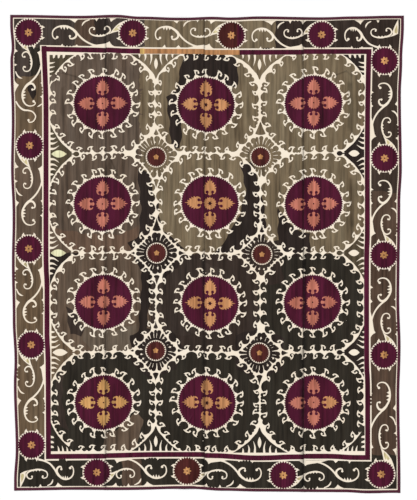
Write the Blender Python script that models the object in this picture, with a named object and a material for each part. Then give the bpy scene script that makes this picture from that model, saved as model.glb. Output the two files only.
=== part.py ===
# A suzani: four narrow widths of hand-loomed cotton sewn edge to edge and bound with a plum edging.
# It lies face up on a flat surface. Metres, X across, Y along the cloth, Z up, origin under its middle.

import math

import bmesh
import bpy
from mathutils import Vector

# Driving sizes
CLOTH_WIDTH = 1.811
CLOTH_LENGTH = 2.201
GROUND_THICKNESS = 0.0012
STITCH_HEIGHT = 0.0008
EDGING_WIDTH = 0.013
EDGING_THICKNESS = 0.0022
SEWN_GAP = 0.0003
SEAM_ALLOWANCE = 0.003
CLEAR_OF_CLOTH = 0.010

# Where the three seams cross the cloth, from the left
SEAM_X = (-0.4646, -0.0115, 0.4439)

# How far each rim lies inside the outermost line: along = place on the rim, inset = distance inwards
LEFT_RIM = (
    # along, inset
    (-1.040, 0.0180),
    (-0.902, 0.0255),
    (-0.598, 0.0170),
    (-0.488, 0.0200),
    (-0.304, 0.0120),
    (-0.046, 0.0080),
    (0.175, 0.0115),
    (0.396, 0.0040),
    (0.616, 0.0075),
    (0.892, 0.0010),
    (0.948, 0.0070),
    (1.058, 0.0000),
)
RIGHT_RIM = (
    # along, inset
    (-1.040, 0.0160),
    (-0.653, 0.0212),
    (-0.432, 0.0156),
    (-0.212, 0.0216),
    (0.230, 0.0170),
    (0.396, 0.0097),
    (0.727, 0.0143),
    (0.892, 0.0080),
    (1.058, 0.0000),
)
TOP_RIM = (
    # along, inset
    (-0.860, 0.0005),
    (-0.584, 0.0046),
    (-0.419, 0.0000),
    (-0.308, 0.0083),
    (-0.115, 0.0138),
    (0.023, 0.0092),
    (0.106, 0.0124),
    (0.244, 0.0074),
    (0.520, 0.0115),
    (0.685, 0.0074),
    (0.851, 0.0041),
)
BOTTOM_RIM = (
    # along, inset
    (-0.860, 0.0124),
    (-0.600, 0.0160),
    (-0.400, 0.0147),
    (-0.087, 0.0207),
    (0.078, 0.0115),
    (0.244, 0.0078),
    (0.630, 0.0050),
    (0.741, 0.0000),
    (0.851, 0.0018),
)

# Large medallions: three to a row and four rows, drawn by eye, so the middle column wanders
MEDALLION_ROWS = (
    # y, left x, middle x, right x
    (0.6900, (-0.4807, -0.0046, 0.4899)),
    (0.2300, (-0.4807, 0.0138, 0.4899)),
    (-0.2230, (-0.4761, 0.0138, 0.4853)),
    (-0.6831, (-0.4761, 0.0000, 0.4899)),
)
DISC_RADIUS_X = 0.132
DISC_RADIUS_Y = 0.1256
CREAM_RING = 0.012
RING_RADIUS_X = 0.2300
RING_RADIUS_Y = 0.2225
RING_SQUARENESS = 2.7

# Small rosettes between four medallions
SMALL_ROSETTE_X = (-0.2355, 0.2460)
SMALL_ROSETTE_Y = (0.4475, 0.0025, -0.4500)
SMALL_ROSETTE_RADIUS = 0.045

# The guard stripe that frames the field: corners of its middle line
GUARD_WIDTH = 0.022
GUARD_CORNERS = ((-0.7330, -0.9310), (0.7380, -0.9360), (0.7420, 0.9315), (-0.7475, 0.9430))

# Rosettes in the border, each at the start of a length of vine
BORDER_ROSETTE_RADIUS = 0.0575
BORDER_ROSETTES = {
    "top": ((-0.823, 1.021), (-0.343, 1.015), (0.113, 1.008), (0.527, 1.008)),
    "right": ((0.818, 0.888), (0.818, 0.440), (0.813, -0.006), (0.814, -0.465), (0.800, -1.015)),
    "bottom": ((0.351, -1.015), (-0.092, -1.004), (-0.507, -1.004)),
    "left": ((-0.809, -0.878), (-0.809, -0.418), (-0.820, 0.024), (-0.816, 0.499)),
}

# Soft rises where the seams pull the cloth in and where it was folded away
RISES = (
    # name, from x, from y, to x, to y, half width, height
    ("seam 1, left side", -0.508, -0.230, -0.507, -0.900, 0.062, 0.0040),
    ("seam 1, right side", -0.425, -0.200, -0.427, -0.880, 0.058, 0.0030),
    ("seam 2, left side, above", -0.052, 0.880, -0.050, 0.080, 0.060, 0.0030),
    ("seam 2, right side, below", 0.034, 0.020, 0.030, -0.920, 0.062, 0.0045),
    ("seam 3, left side", 0.402, 0.460, 0.404, -0.210, 0.058, 0.0030),
    ("seam 3, right side", 0.486, -0.220, 0.484, -0.930, 0.062, 0.0040),
    ("swell, row 1 left", -0.625, 0.800, -0.632, 0.560, 0.060, 0.0040),
    ("swell, row 2 left", -0.622, 0.330, -0.618, 0.110, 0.060, 0.0035),
    ("swell, row 1 right", 0.626, 0.790, 0.622, 0.560, 0.060, 0.0040),
    ("swell, row 2 right", 0.626, 0.330, 0.620, 0.110, 0.060, 0.0035),
    ("ripple in the top border", -0.120, 1.085, -0.105, 0.985, 0.070, 0.0040),
    ("ripple in the left border", -0.880, 0.180, -0.780, 0.160, 0.070, 0.0035),
    ("ripple in the bottom border", -0.100, -1.080, -0.085, -0.980, 0.070, 0.0040),
)

# How finely the cloth is divided to follow the rises
DIVIDE_X = 0.037
DIVIDE_Y = 0.110
RIM_STEP = 0.075
CORNER_ROOM = 0.004
WELD = 1e-6
ON_LINE = 0.0002
FLAT_ANGLE = 0.001
SMOOTH_ANGLE = math.radians(30)

DISC_SIDES = 24
RING_SIDES = 28
SMALL_ROSETTE_SIDES = 12
BORDER_ROSETTE_SIDES = 16

# Colour (linear), roughness
CREAM_COTTON = ("cream cotton", (0.68, 0.56, 0.38, 1.0), 0.92)
PLUM_SILK = ("plum silk", (0.070, 0.014, 0.027, 1.0), 0.62)
DARK_SILK = ("dark silk", (0.050, 0.036, 0.027, 1.0), 0.66)
MAROON_SILK = ("maroon silk", (0.088, 0.030, 0.023, 1.0), 0.64)


def clear_scene():
    for old in list(bpy.data.objects):
        bpy.data.objects.remove(old, do_unlink=True)


def new_collection(name):
    collection = bpy.data.collections.new(name)
    bpy.context.scene.collection.children.link(collection)
    return collection


def thread(name, colour, roughness):
    material = bpy.data.materials.new(name)
    material.diffuse_color = colour
    material.use_nodes = True
    shader = material.node_tree.nodes["Principled BSDF"]
    shader.inputs["Base Color"].default_value = colour
    shader.inputs["Roughness"].default_value = roughness
    shader.inputs["Metallic"].default_value = 0.0
    return material


def inset_at(rim, along):
    # Level at each row of the table, with an even rise between two rows
    if along <= rim[0][0]:
        return rim[0][1]
    for (start, low), (end, high) in zip(rim, rim[1:]):
        if along <= end:
            share = (1 - math.cos(math.pi * (along - start) / (end - start))) / 2
            return low + (high - low) * share
    return rim[-1][1]


def left_edge(y, inside=0.0):
    return -CLOTH_WIDTH / 2 + inset_at(LEFT_RIM, y) + inside


def right_edge(y, inside=0.0):
    return CLOTH_WIDTH / 2 - inset_at(RIGHT_RIM, y) - inside


def top_edge(x, inside=0.0):
    return CLOTH_LENGTH / 2 - inset_at(TOP_RIM, x) - inside


def bottom_edge(x, inside=0.0):
    return -CLOTH_LENGTH / 2 + inset_at(BOTTOM_RIM, x) + inside


def stations(rims, seams=()):
    # The rows of the tables and the seams, and places between them so that the rim stays a soft curve
    rows = sorted({row[0] for rim in rims for row in rim} | set(seams))
    places = []
    for start, end in zip(rows, rows[1:]):
        steps = max(1, round((end - start) / RIM_STEP))
        places += [start + (end - start) * step / steps for step in range(steps)]
    return places + [rows[-1]]


def meeting_point(side, rim):
    # Where a side, x from y, crosses a rim, y from x
    x = side(0.0)
    for _ in range(6):
        y = rim(x)
        x = side(y)
    return x, y


def between(places, low, high):
    return [place for place in places if low + CORNER_ROOM < place < high - CORNER_ROOM]


def patch_outline(left, right, bottom, top):
    # The outline of a piece between two sides and two rims, anticlockwise
    low_left, low_right = meeting_point(left, bottom), meeting_point(right, bottom)
    top_right, top_left = meeting_point(right, top), meeting_point(left, top)
    across, along = stations((TOP_RIM, BOTTOM_RIM), SEAM_X), stations((LEFT_RIM, RIGHT_RIM))
    points = [low_left]
    points += [(x, bottom(x)) for x in between(across, low_left[0], low_right[0])]
    points += [low_right]
    points += [(right(y), y) for y in between(along, low_right[1], top_right[1])]
    points += [top_right]
    points += [(x, top(x)) for x in reversed(between(across, top_left[0], top_right[0]))]
    points += [top_left]
    points += [(left(y), y) for y in reversed(between(along, low_left[1], top_left[1]))]
    return points


def plate(name, outlines, low, high, collection, material):
    # A flat outline with its thickness, made a mesh with its caps welded on
    curve = bpy.data.curves.new(name, "CURVE")
    curve.dimensions = "2D"
    curve.fill_mode = "BOTH"
    curve.extrude = (high - low) / 2
    for outline in outlines:
        spline = curve.splines.new("POLY")
        spline.points.add(len(outline) - 1)
        for point, (x, y) in zip(spline.points, outline):
            point.co = (x, y, 0.0, 1.0)
        spline.use_cyclic_u = True
    drawn = bpy.data.objects.new(name, curve)
    drawn.location.z = (low + high) / 2
    collection.objects.link(drawn)
    bpy.context.view_layer.update()
    mesh = bpy.data.meshes.new_from_object(drawn.evaluated_get(bpy.context.evaluated_depsgraph_get()))
    mesh.transform(drawn.matrix_world)
    bpy.data.objects.remove(drawn)
    bpy.data.curves.remove(curve)
    shape = bmesh.new()
    shape.from_mesh(mesh)
    bmesh.ops.remove_doubles(shape, verts=shape.verts, dist=WELD)
    if len(outlines) == 1:
        bmesh.ops.dissolve_limit(shape, angle_limit=FLAT_ANGLE, verts=shape.verts, edges=shape.edges)
    bmesh.ops.recalc_face_normals(shape, faces=shape.faces)
    shape.to_mesh(mesh)
    shape.free()
    mesh.name = name
    mesh.materials.clear()
    mesh.materials.append(material)
    plain = bpy.data.objects.new(name, mesh)
    collection.objects.link(plain)
    return plain


def squarish_round(centre, radius_x, radius_y, sides):
    # A round drawn towards a square: a superellipse
    points = []
    for side in range(sides):
        angle = 2 * math.pi * (side + 0.5) / sides
        reach = abs(math.cos(angle)) ** RING_SQUARENESS + abs(math.sin(angle)) ** RING_SQUARENESS
        reach = reach ** (-1 / RING_SQUARENESS)
        x = centre[0] + radius_x * reach * math.cos(angle)
        y = centre[1] + radius_y * reach * math.sin(angle)
        points.append((x, y))
    return points


def oval(centre, radius_x, radius_y, sides):
    turns = [2 * math.pi * (side + 0.5) / sides for side in range(sides)]
    return [(centre[0] + radius_x * math.cos(t), centre[1] + radius_y * math.sin(t)) for t in turns]


def guard_bars():
    # The four bars of the guard stripe, mitred at the corners
    corners, half = GUARD_CORNERS, GUARD_WIDTH / 2
    outer, inner = (
        [Vector((x + side * math.copysign(half, x), y + side * math.copysign(half, y))) for x, y in corners]
        for side in (1, -1)
    )
    bars = []
    for corner in range(4):
        following = (corner + 1) % 4
        along = (outer[following] - outer[corner]).normalized() * SEWN_GAP
        bars.append(
            [outer[corner] + along, outer[following] - along, inner[following] - along, inner[corner] + along]
        )
    return bars


def embroidered_fields(collection, plum, dark, maroon):
    # Closely stitched fields that stand above the bare ground, over the whole cloth
    low, high = GROUND_THICKNESS / 2, GROUND_THICKNESS + STITCH_HEIGHT
    fields = []
    for y, row in MEDALLION_ROWS:
        for x in row:
            outer = squarish_round((x, y), RING_RADIUS_X, RING_RADIUS_Y, RING_SIDES)
            hollow = oval((x, y), DISC_RADIUS_X + CREAM_RING, DISC_RADIUS_Y + CREAM_RING, DISC_SIDES)
            disc = oval((x, y), DISC_RADIUS_X, DISC_RADIUS_Y, DISC_SIDES)
            fields.append(plate("medallion_ring", [outer, hollow], low, high, collection, dark))
            fields.append(plate("medallion_disc", [disc], low, high, collection, plum))
    for y in SMALL_ROSETTE_Y:
        for x in SMALL_ROSETTE_X:
            disc = oval((x, y), SMALL_ROSETTE_RADIUS, SMALL_ROSETTE_RADIUS, SMALL_ROSETTE_SIDES)
            fields.append(plate("small_rosette", [disc], low, high, collection, maroon))
    for side in BORDER_ROSETTES.values():
        for centre in side:
            disc = oval(centre, BORDER_ROSETTE_RADIUS, BORDER_ROSETTE_RADIUS, BORDER_ROSETTE_SIDES)
            fields.append(plate("border_rosette", [disc], low, high, collection, plum))
    for bar in guard_bars():
        fields.append(plate("guard_bar", [bar], low, high, collection, plum))
    return joined("embroidered_fields", fields, collection, (plum, dark, maroon))


def joined(name, pieces, collection, materials):
    shape = bmesh.new()
    for piece in pieces:
        slot = materials.index(piece.data.materials[0])
        first = len(shape.faces)
        shape.from_mesh(piece.data)
        shape.faces.ensure_lookup_table()
        for face in shape.faces[first:]:
            face.material_index = slot
        bpy.data.objects.remove(piece)
    mesh = bpy.data.meshes.new(name)
    shape.to_mesh(mesh)
    shape.free()
    for material in materials:
        mesh.materials.append(material)
    whole = bpy.data.objects.new(name, mesh)
    collection.objects.link(whole)
    return whole


def boolean(target, other, operation):
    modifier = target.modifiers.new(operation.lower(), "BOOLEAN")
    modifier.operation = operation
    modifier.solver = "EXACT"
    modifier.material_mode = "TRANSFER"
    modifier.object = other


def shaped(piece):
    # The mesh of an object with its modifiers worked out
    bpy.context.view_layer.update()
    mesh = bpy.data.meshes.new_from_object(piece.evaluated_get(bpy.context.evaluated_depsgraph_get()))
    mesh.transform(piece.matrix_world)
    return mesh


def rise_at(x, y):
    # How far the cloth stands off the surface: nothing but for a soft ridge along each row
    height = 0.0
    for _, x0, y0, x1, y1, half_width, top in RISES:
        along = Vector((x1 - x0, y1 - y0))
        share = (Vector((x - x0, y - y0)).dot(along)) / along.length_squared
        nearest = Vector((x0, y0)) + along * min(1.0, max(0.0, share))
        distance = (Vector((x, y)) - nearest).length
        if distance < half_width:
            height += top * (1 + math.cos(math.pi * distance / half_width)) / 2
    return height


def divided(shape, step_x, step_y):
    # Cut along straight lines both ways, so that the cloth can bend between them
    lines = [(Vector((1, 0, 0)), CLOTH_WIDTH, step_x), (Vector((0, 1, 0)), CLOTH_LENGTH, step_y)]
    for normal, reach, step in lines:
        count = round(reach / step)
        for line in range(1, count):
            place = normal * (-reach / 2 + reach * line / count)
            everything = shape.verts[:] + shape.edges[:] + shape.faces[:]
            bmesh.ops.bisect_plane(shape, geom=everything, dist=ON_LINE, plane_co=place, plane_no=normal)


def laid(name, mesh, collection, step_x, step_y):
    # The flat piece laid out on its rises, as its own object
    shape = bmesh.new()
    shape.from_mesh(mesh)
    bmesh.ops.remove_doubles(shape, verts=shape.verts, dist=WELD)
    divided(shape, step_x, step_y)
    for vertex in shape.verts:
        vertex.co.z += rise_at(vertex.co.x, vertex.co.y)
    bmesh.ops.triangulate(shape, faces=shape.faces[:])
    shape.to_mesh(mesh)
    shape.free()
    mesh.name = name
    mesh.shade_smooth()
    mesh.set_sharp_from_angle(angle=SMOOTH_ANGLE)
    piece = bpy.data.objects.new(name, mesh)
    collection.objects.link(piece)


def panel_sides(number):
    # The two long sides of a width of cotton, as x from y, at a distance inside its own edge
    rim = EDGING_WIDTH + SEWN_GAP
    seam = SEWN_GAP / 2

    def left(y, inside=0.0):
        if number == 1:
            return left_edge(y, rim + inside)
        return SEAM_X[number - 2] + seam + inside

    def right(y, inside=0.0):
        if number == 4:
            return right_edge(y, rim + inside)
        return SEAM_X[number - 1] - seam - inside

    return left, right


def panel_outline(number, inside):
    left, right = panel_sides(number)
    rim = EDGING_WIDTH + SEWN_GAP + inside
    return patch_outline(
        lambda y: left(y, inside),
        lambda y: right(y, inside),
        lambda x: bottom_edge(x, rim),
        lambda x: top_edge(x, rim),
    )


def make_panel(number, fields, parts, cutters, cream):
    name = f"panel_{number}"
    ground = plate(name + "_ground", [panel_outline(number, 0.0)], 0.0, GROUND_THICKNESS, cutters, cream)
    reach = [panel_outline(number, SEAM_ALLOWANCE)]
    window = plate(name + "_window", reach, -CLEAR_OF_CLOTH, CLEAR_OF_CLOTH, cutters, cream)
    stitched = bpy.data.objects.new(name + "_stitched", fields.data)
    cutters.objects.link(stitched)
    boolean(stitched, window, "INTERSECT")
    boolean(ground, stitched, "UNION")
    mesh = shaped(ground)
    for helper in (ground, stitched, window):
        bpy.data.objects.remove(helper)
    laid(name, mesh, parts, DIVIDE_X, DIVIDE_Y)


def make_edging(parts, cutters, plum):
    # The side strips run the whole length, and the strips at the head and foot lie between them
    inner = EDGING_WIDTH
    beside = EDGING_WIDTH + SEWN_GAP
    strips = {
        "edging_left": (left_edge, lambda y: left_edge(y, inner), bottom_edge, top_edge),
        "edging_right": (lambda y: right_edge(y, inner), right_edge, bottom_edge, top_edge),
        "edging_bottom": (
            lambda y: left_edge(y, beside),
            lambda y: right_edge(y, beside),
            bottom_edge,
            lambda x: bottom_edge(x, inner),
        ),
        "edging_top": (
            lambda y: left_edge(y, beside),
            lambda y: right_edge(y, beside),
            lambda x: top_edge(x, inner),
            top_edge,
        ),
    }
    for name, sides in strips.items():
        flat = plate(name + "_flat", [patch_outline(*sides)], 0.0, EDGING_THICKNESS, cutters, plum)
        mesh = shaped(flat)
        bpy.data.objects.remove(flat)
        laid(name, mesh, parts, DIVIDE_X, DIVIDE_X)


def main():
    clear_scene()
    parts = new_collection("suzani")
    cutters = new_collection("cutters")
    cutters.hide_render = True
    cream, plum = thread(*CREAM_COTTON), thread(*PLUM_SILK)
    dark, maroon = thread(*DARK_SILK), thread(*MAROON_SILK)
    fields = embroidered_fields(cutters, plum, dark, maroon)
    fields.hide_render = True
    fields.display_type = "WIRE"
    for number in (1, 2, 3, 4):
        make_panel(number, fields, parts, cutters, cream)
    make_edging(parts, cutters, plum)


main()
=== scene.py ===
import math
import random

import bmesh
import bpy
import numpy as np
from mathutils import Matrix, Vector
from mathutils.geometry import delaunay_2d_cdt


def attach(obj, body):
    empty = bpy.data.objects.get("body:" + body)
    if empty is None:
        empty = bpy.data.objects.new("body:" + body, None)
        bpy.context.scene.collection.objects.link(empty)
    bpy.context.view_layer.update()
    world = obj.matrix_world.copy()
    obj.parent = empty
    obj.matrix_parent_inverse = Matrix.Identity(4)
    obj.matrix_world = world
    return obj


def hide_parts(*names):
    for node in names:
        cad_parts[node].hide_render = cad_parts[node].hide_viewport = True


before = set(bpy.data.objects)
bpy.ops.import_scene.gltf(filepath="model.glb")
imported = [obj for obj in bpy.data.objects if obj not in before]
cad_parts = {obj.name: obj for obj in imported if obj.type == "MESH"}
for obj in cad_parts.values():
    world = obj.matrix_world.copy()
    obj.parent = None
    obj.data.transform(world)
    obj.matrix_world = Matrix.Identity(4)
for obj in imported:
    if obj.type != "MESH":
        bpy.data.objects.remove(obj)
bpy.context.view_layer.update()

# A suzani laid face up on a pale floor: four widths of cream cotton worked with laid silk, sewn edge to
# edge and bound in plum. The motifs are drawn on a chart: one square is 4.6 mm, x runs to the right and
# y runs down, as on a drawing, and the middle of the cloth is at (207, 254).

chart = {"square": 0.0046, "middleX": 207.0, "middleY": 254.0}


# the cloth as it lies, with the sizes of the solids
cloth = {
    "width": 1.811,
    "length": 2.201,
    "ground": 0.0012,
    "stitch": 0.0008,
    "sunkStitch": 0.0002,
    "edging": 0.013,
    "sewnGap": 0.0003,
    "seams": (-0.4646, -0.0115, 0.4439),
}

# how far each rim lies inside the outermost line: place on the rim, inset
rims = {
    "left": (
        (-1.040, 0.0180), (-0.902, 0.0255), (-0.598, 0.0170), (-0.488, 0.0200), (-0.304, 0.0120),
        (-0.046, 0.0080), (0.175, 0.0115), (0.396, 0.0040), (0.616, 0.0075), (0.892, 0.0010),
        (0.948, 0.0070), (1.058, 0.0000),
    ),
    "right": (
        (-1.040, 0.0160), (-0.653, 0.0212), (-0.432, 0.0156), (-0.212, 0.0216), (0.230, 0.0170),
        (0.396, 0.0097), (0.727, 0.0143), (0.892, 0.0080), (1.058, 0.0000),
    ),
    "top": (
        (-0.860, 0.0005), (-0.584, 0.0046), (-0.419, 0.0000), (-0.308, 0.0083), (-0.115, 0.0138),
        (0.023, 0.0092), (0.106, 0.0124), (0.244, 0.0074), (0.520, 0.0115), (0.685, 0.0074),
        (0.851, 0.0041),
    ),
    "bottom": (
        (-0.860, 0.0124), (-0.600, 0.0160), (-0.400, 0.0147), (-0.087, 0.0207), (0.078, 0.0115),
        (0.244, 0.0078), (0.630, 0.0050), (0.741, 0.0000), (0.851, 0.0018),
    ),
}

# soft rises as in the solids: from x, y, to x, y, half width, height
rises = (
    (-0.508, -0.230, -0.507, -0.900, 0.062, 0.0040),
    (-0.425, -0.200, -0.427, -0.880, 0.058, 0.0030),
    (-0.052, 0.880, -0.050, 0.080, 0.060, 0.0030),
    (0.034, 0.020, 0.030, -0.920, 0.062, 0.0045),
    (0.402, 0.460, 0.404, -0.210, 0.058, 0.0030),
    (0.486, -0.220, 0.484, -0.930, 0.062, 0.0040),
    (-0.625, 0.800, -0.632, 0.560, 0.060, 0.0040),
    (-0.622, 0.330, -0.618, 0.110, 0.060, 0.0035),
    (0.626, 0.790, 0.622, 0.560, 0.060, 0.0040),
    (0.626, 0.330, 0.620, 0.110, 0.060, 0.0035),
    (-0.120, 1.085, -0.105, 0.985, 0.070, 0.0040),
    (-0.880, 0.180, -0.780, 0.160, 0.070, 0.0035),
    (-0.100, -1.080, -0.085, -0.980, 0.070, 0.0040),
)

# small creases pressed in by folding, on the chart: from x, y, to x, y, half width and height in metres
creases = (
    (60.0, 72.0, 84.0, 79.0, 0.009, 0.0021),
    (110.0, 158.0, 118.0, 177.0, 0.008, 0.0018),
    (330.0, 77.0, 346.0, 71.0, 0.008, 0.0018),
    (293.0, 160.0, 297.0, 172.0, 0.008, 0.0017),
    (174.0, 417.0, 184.0, 431.0, 0.008, 0.0019),
    (184.0, 431.0, 192.0, 416.0, 0.008, 0.0017),
    (66.0, 300.0, 60.0, 330.0, 0.010, 0.0018),
    (340.0, 300.0, 348.0, 326.0, 0.010, 0.0018),
)

waves = {"height": 0.00035}
# what each width draws up beside a seam
pucker = {"height": 0.0019, "reach": 0.013, "pitch": 0.031}


def insetAt(rim, along):
    places, insets = np.array(rims[rim]).T
    row = np.clip(np.searchsorted(places, along) - 1, 0, len(places) - 2)
    share = np.clip((along - places[row]) / (places[row + 1] - places[row]), 0.0, 1.0)
    share = (1 - np.cos(np.pi * share)) / 2
    return insets[row] + (insets[row + 1] - insets[row]) * share


def leftEdge(y, inside=0.0):
    return -cloth["width"] / 2 + insetAt("left", y) + inside


def rightEdge(y, inside=0.0):
    return cloth["width"] / 2 - insetAt("right", y) - inside


def topEdge(x, inside=0.0):
    return cloth["length"] / 2 - insetAt("top", x) - inside


def bottomEdge(x, inside=0.0):
    return -cloth["length"] / 2 + insetAt("bottom", x) + inside


def toMetres(ring):
    ring = np.asarray(ring, float)
    return (ring - (chart["middleX"], chart["middleY"])) * (chart["square"], -chart["square"])


def toChart(x, y):
    middle = (chart["middleX"], chart["middleY"])
    return np.column_stack([x, y]) / (chart["square"], -chart["square"]) + middle


def ridge(x, y, start, end, halfWidth, height, sharp=False):
    # a soft ridge along a line, level with the floor outside its width
    along = np.subtract(end, start)
    share = ((x - start[0]) * along[0] + (y - start[1]) * along[1]) / (along @ along)
    share = np.clip(share, 0.0, 1.0)
    away = np.hypot(x - start[0] - along[0] * share, y - start[1] - along[1] * share) / halfWidth
    if sharp:
        return height * np.clip(1 - away, 0.0, 1.0) ** 2
    return np.where(away < 1, height * (1 + np.cos(np.pi * np.minimum(away, 1))) / 2, 0.0)


def lieOf(x, y):
    # how far the underside stands off the floor
    x, y = np.asarray(x, float), np.asarray(y, float)
    height = waves["height"] * (1 + np.sin(31 * x + 17 * y) * np.sin(23 * y - 11 * x + 1.3))
    for x0, y0, x1, y1, halfWidth, top in rises:
        height = height + ridge(x, y, (x0, y0), (x1, y1), halfWidth, top)
    for x0, y0, x1, y1, halfWidth, top in creases:
        start, end = toMetres([(x0, y0), (x1, y1)])
        height = height + ridge(x, y, start, end, halfWidth, top, sharp=True)
    for number, seam in enumerate(cloth["seams"]):
        # each width draws up a little beside its seam, more in some places than in others
        away = np.abs(x - seam) / pucker["reach"]
        drawn = np.where(away < 1, np.sin(np.pi * np.minimum(away, 1)) ** 2, 0.0)
        uneven = 0.62 + 0.38 * np.sin(2 * np.pi * y / pucker["pitch"] + 2.0 * np.sin(9 * y + number))
        lower = 0.55 + 0.45 / (1 + np.exp((y + 0.02) * 14))
        height = height + pucker["height"] * drawn * uneven * lower
    return height


drawing = []  # each ring drawn on the chart, with its thread, later ones over earlier ones


def draw(ring, thread):
    drawing.append((np.asarray(ring, float), thread))


def placed(ring, x, y, angle=0.0, size=1.0, flip=1):
    # a ring drawn about its own start, with its first axis turned to the angle
    ring = np.asarray(ring, float) * (size, size * flip)
    c, s = math.cos(angle), math.sin(angle)
    return ring @ np.array([[c, s], [-s, c]]) + (x, y)


def roundOf(x, y, radius, other=None, count=16):
    angles = np.arange(count) * 2 * np.pi / count
    return np.column_stack([x + radius * np.cos(angles), y + (other or radius) * np.sin(angles)])


def toothedRound(x, y, radius, other, teeth, depth):
    angles = np.arange(teeth * 2) * np.pi / teeth
    reach = np.where(np.arange(teeth * 2) % 2, -depth, depth)
    return np.column_stack([x + (radius + reach) * np.cos(angles), y + (other + reach) * np.sin(angles)])


def mirrored(half):
    # a ring from one side of it: place along its middle line, half width
    return [*half, *((along, -wide) for along, wide in reversed(half))]


def flowing(points, steps=4):
    # an even curve through a few points, with any widths carried along as further columns
    points = np.asarray(points, float)
    padded = np.vstack([2 * points[0] - points[1], points, 2 * points[-1] - points[-2]])
    found = []
    for a, b, c, d in zip(padded, padded[1:], padded[2:], padded[3:]):
        for step in range(steps):
            t = step / steps
            square = 2 * a - 5 * b + 4 * c - d
            cube = 3 * b - a - 3 * c + d
            found.append(0.5 * (2 * b + (c - a) * t + square * t**2 + cube * t**3))
    return np.vstack([found, points[-1]])


def stroke(points, widths, steps=4):
    # a drawn line with a width at each of its points
    line = flowing(np.column_stack([points, widths]), steps)
    way = np.gradient(line[:, :2], axis=0)
    way /= np.maximum(np.hypot(*way.T), 1e-9)[:, None]
    side = np.column_stack([-way[:, 1], way[:, 0]]) * np.maximum(line[:, 2:], 0.05) / 2
    return np.vstack([line[:, :2] + side, (line[:, :2] - side)[::-1]])


hooks = {
    "stem": ((-1.2, 0.0), (0.1, 0.0), (1.2, 0.05), (2.8, 0.1), (5.0, 0.5)),
    "stemWidths": (4.4, 2.4, 1.3, 1.1, 1.8),
    "heads": (
        ((5.7, 2.3), (5.6, 1.1), (5.4, -0.3), (5.0, -1.8), (4.2, -2.8), (3.2, -3.1)),
        ((6.0, 1.7), (5.7, 0.5), (5.4, -0.7), (4.9, -2.1), (4.1, -3.0), (3.1, -3.0)),
    ),
    "headWidths": (0.2, 1.2, 1.4, 1.2, 1.1, 1.2),
    "blobs": ((3.1, -2.9, 0.95), (3.0, -2.8, 1.0)),
}


def hook(x, y, angle, size, flip, kind):
    # a bare hook left between two worked lobes
    draw(placed(stroke(hooks["stem"], hooks["stemWidths"], 3), x, y, angle, size, flip), "bare")
    draw(placed(stroke(hooks["heads"][kind], hooks["headWidths"], 3), x, y, angle, size, flip), "bare")
    bx, by, radius = hooks["blobs"][kind]
    draw(placed(roundOf(bx, by, radius, count=8), x, y, angle, size, flip), "bare")


medallions = {
    "bodyRadius": 54.6,
    "ground": 1.6,
    "inside": 2.6,
    "outerHooks": 28,
    "outerWander": 0.16,
    "outerGap": 1.4,
    "oneLobe": 0.60,
    "twoLobes": 0.74,
    "outerSizes": (0.92, 1.12),
    "innerHooks": 20,
    "innerWander": 0.14,
    "innerGap": 1.7,
    "roundLobes": 0.8,
    "innerSizes": (0.98, 1.16),
    "sameWay": 0.84,
    "discX": 28.7,
    "discY": 27.3,
    "discTeeth": 76,
    "toothDepth": 0.7,
    "ring": 3.3,
}

# x, y, reach to the left, right, head and foot, flower thread, flower of the right arm, seed
medallionPlaces = (
    (102.5, 103.5, 52.6, 51.6, 49.7, 48.6, "salmon", "salmon", 11),
    (206.0, 104.5, 50.6, 52.4, 50.1, 47.6, "golden", "golden", 12),
    (313.5, 103.0, 52.4, 50.6, 48.9, 49.0, "salmon", "salmon", 13),
    (102.5, 204.0, 52.6, 52.2, 50.0, 48.2, "salmon", "salmon", 21),
    (210.0, 203.0, 53.6, 49.4, 49.2, 49.0, "golden", "golden", 22),
    (313.5, 204.0, 52.4, 50.2, 50.0, 48.4, "salmon", "salmon", 23),
    (103.5, 302.0, 52.6, 51.4, 48.2, 49.0, "salmon", "salmon", 31),
    (210.0, 303.0, 53.4, 49.4, 49.2, 48.2, "golden", "golden", 32),
    (312.5, 302.5, 51.6, 50.4, 48.8, 48.4, "salmon", "salmon", 33),
    (103.5, 402.5, 51.8, 51.2, 49.6, 48.2, "goldenDull", "goldenDull", 41),
    (207.0, 402.5, 50.8, 52.0, 49.6, 48.8, "golden", "golden", 42),
    (313.5, 402.5, 52.6, 49.6, 49.2, 48.6, "salmon", "golden", 43),
)


def reachAt(angle, rim, reach):
    c, s = math.cos(angle), math.sin(angle)
    side = reach[0] if c < 0 else reach[1]
    end = reach[2] if s < 0 else reach[3]
    return min(rim, side / max(abs(c), 1e-6), end / max(abs(s), 1e-6))


def roundedBody(x, y, rim, reach, grow, count=140):
    angles = np.arange(count) * 2 * np.pi / count
    lengths = [reachAt(angle, rim, reach) + grow for angle in angles]
    return np.column_stack([x + lengths * np.cos(angles), y + lengths * np.sin(angles)])


def lobe(x, y, angle, edge, radius, count=14):
    # a round that touches the edge from inside
    away = edge - radius
    return roundOf(x + away * math.cos(angle), y + away * math.sin(angle), radius, count=count)


def spaced(count, wander, pick):
    # uneven angles round a medallion, with the first one again at the end
    angles = [2 * math.pi * (number + pick.uniform(-wander, wander)) / count for number in range(count)]
    return [*angles, angles[0] + 2 * math.pi]


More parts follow.
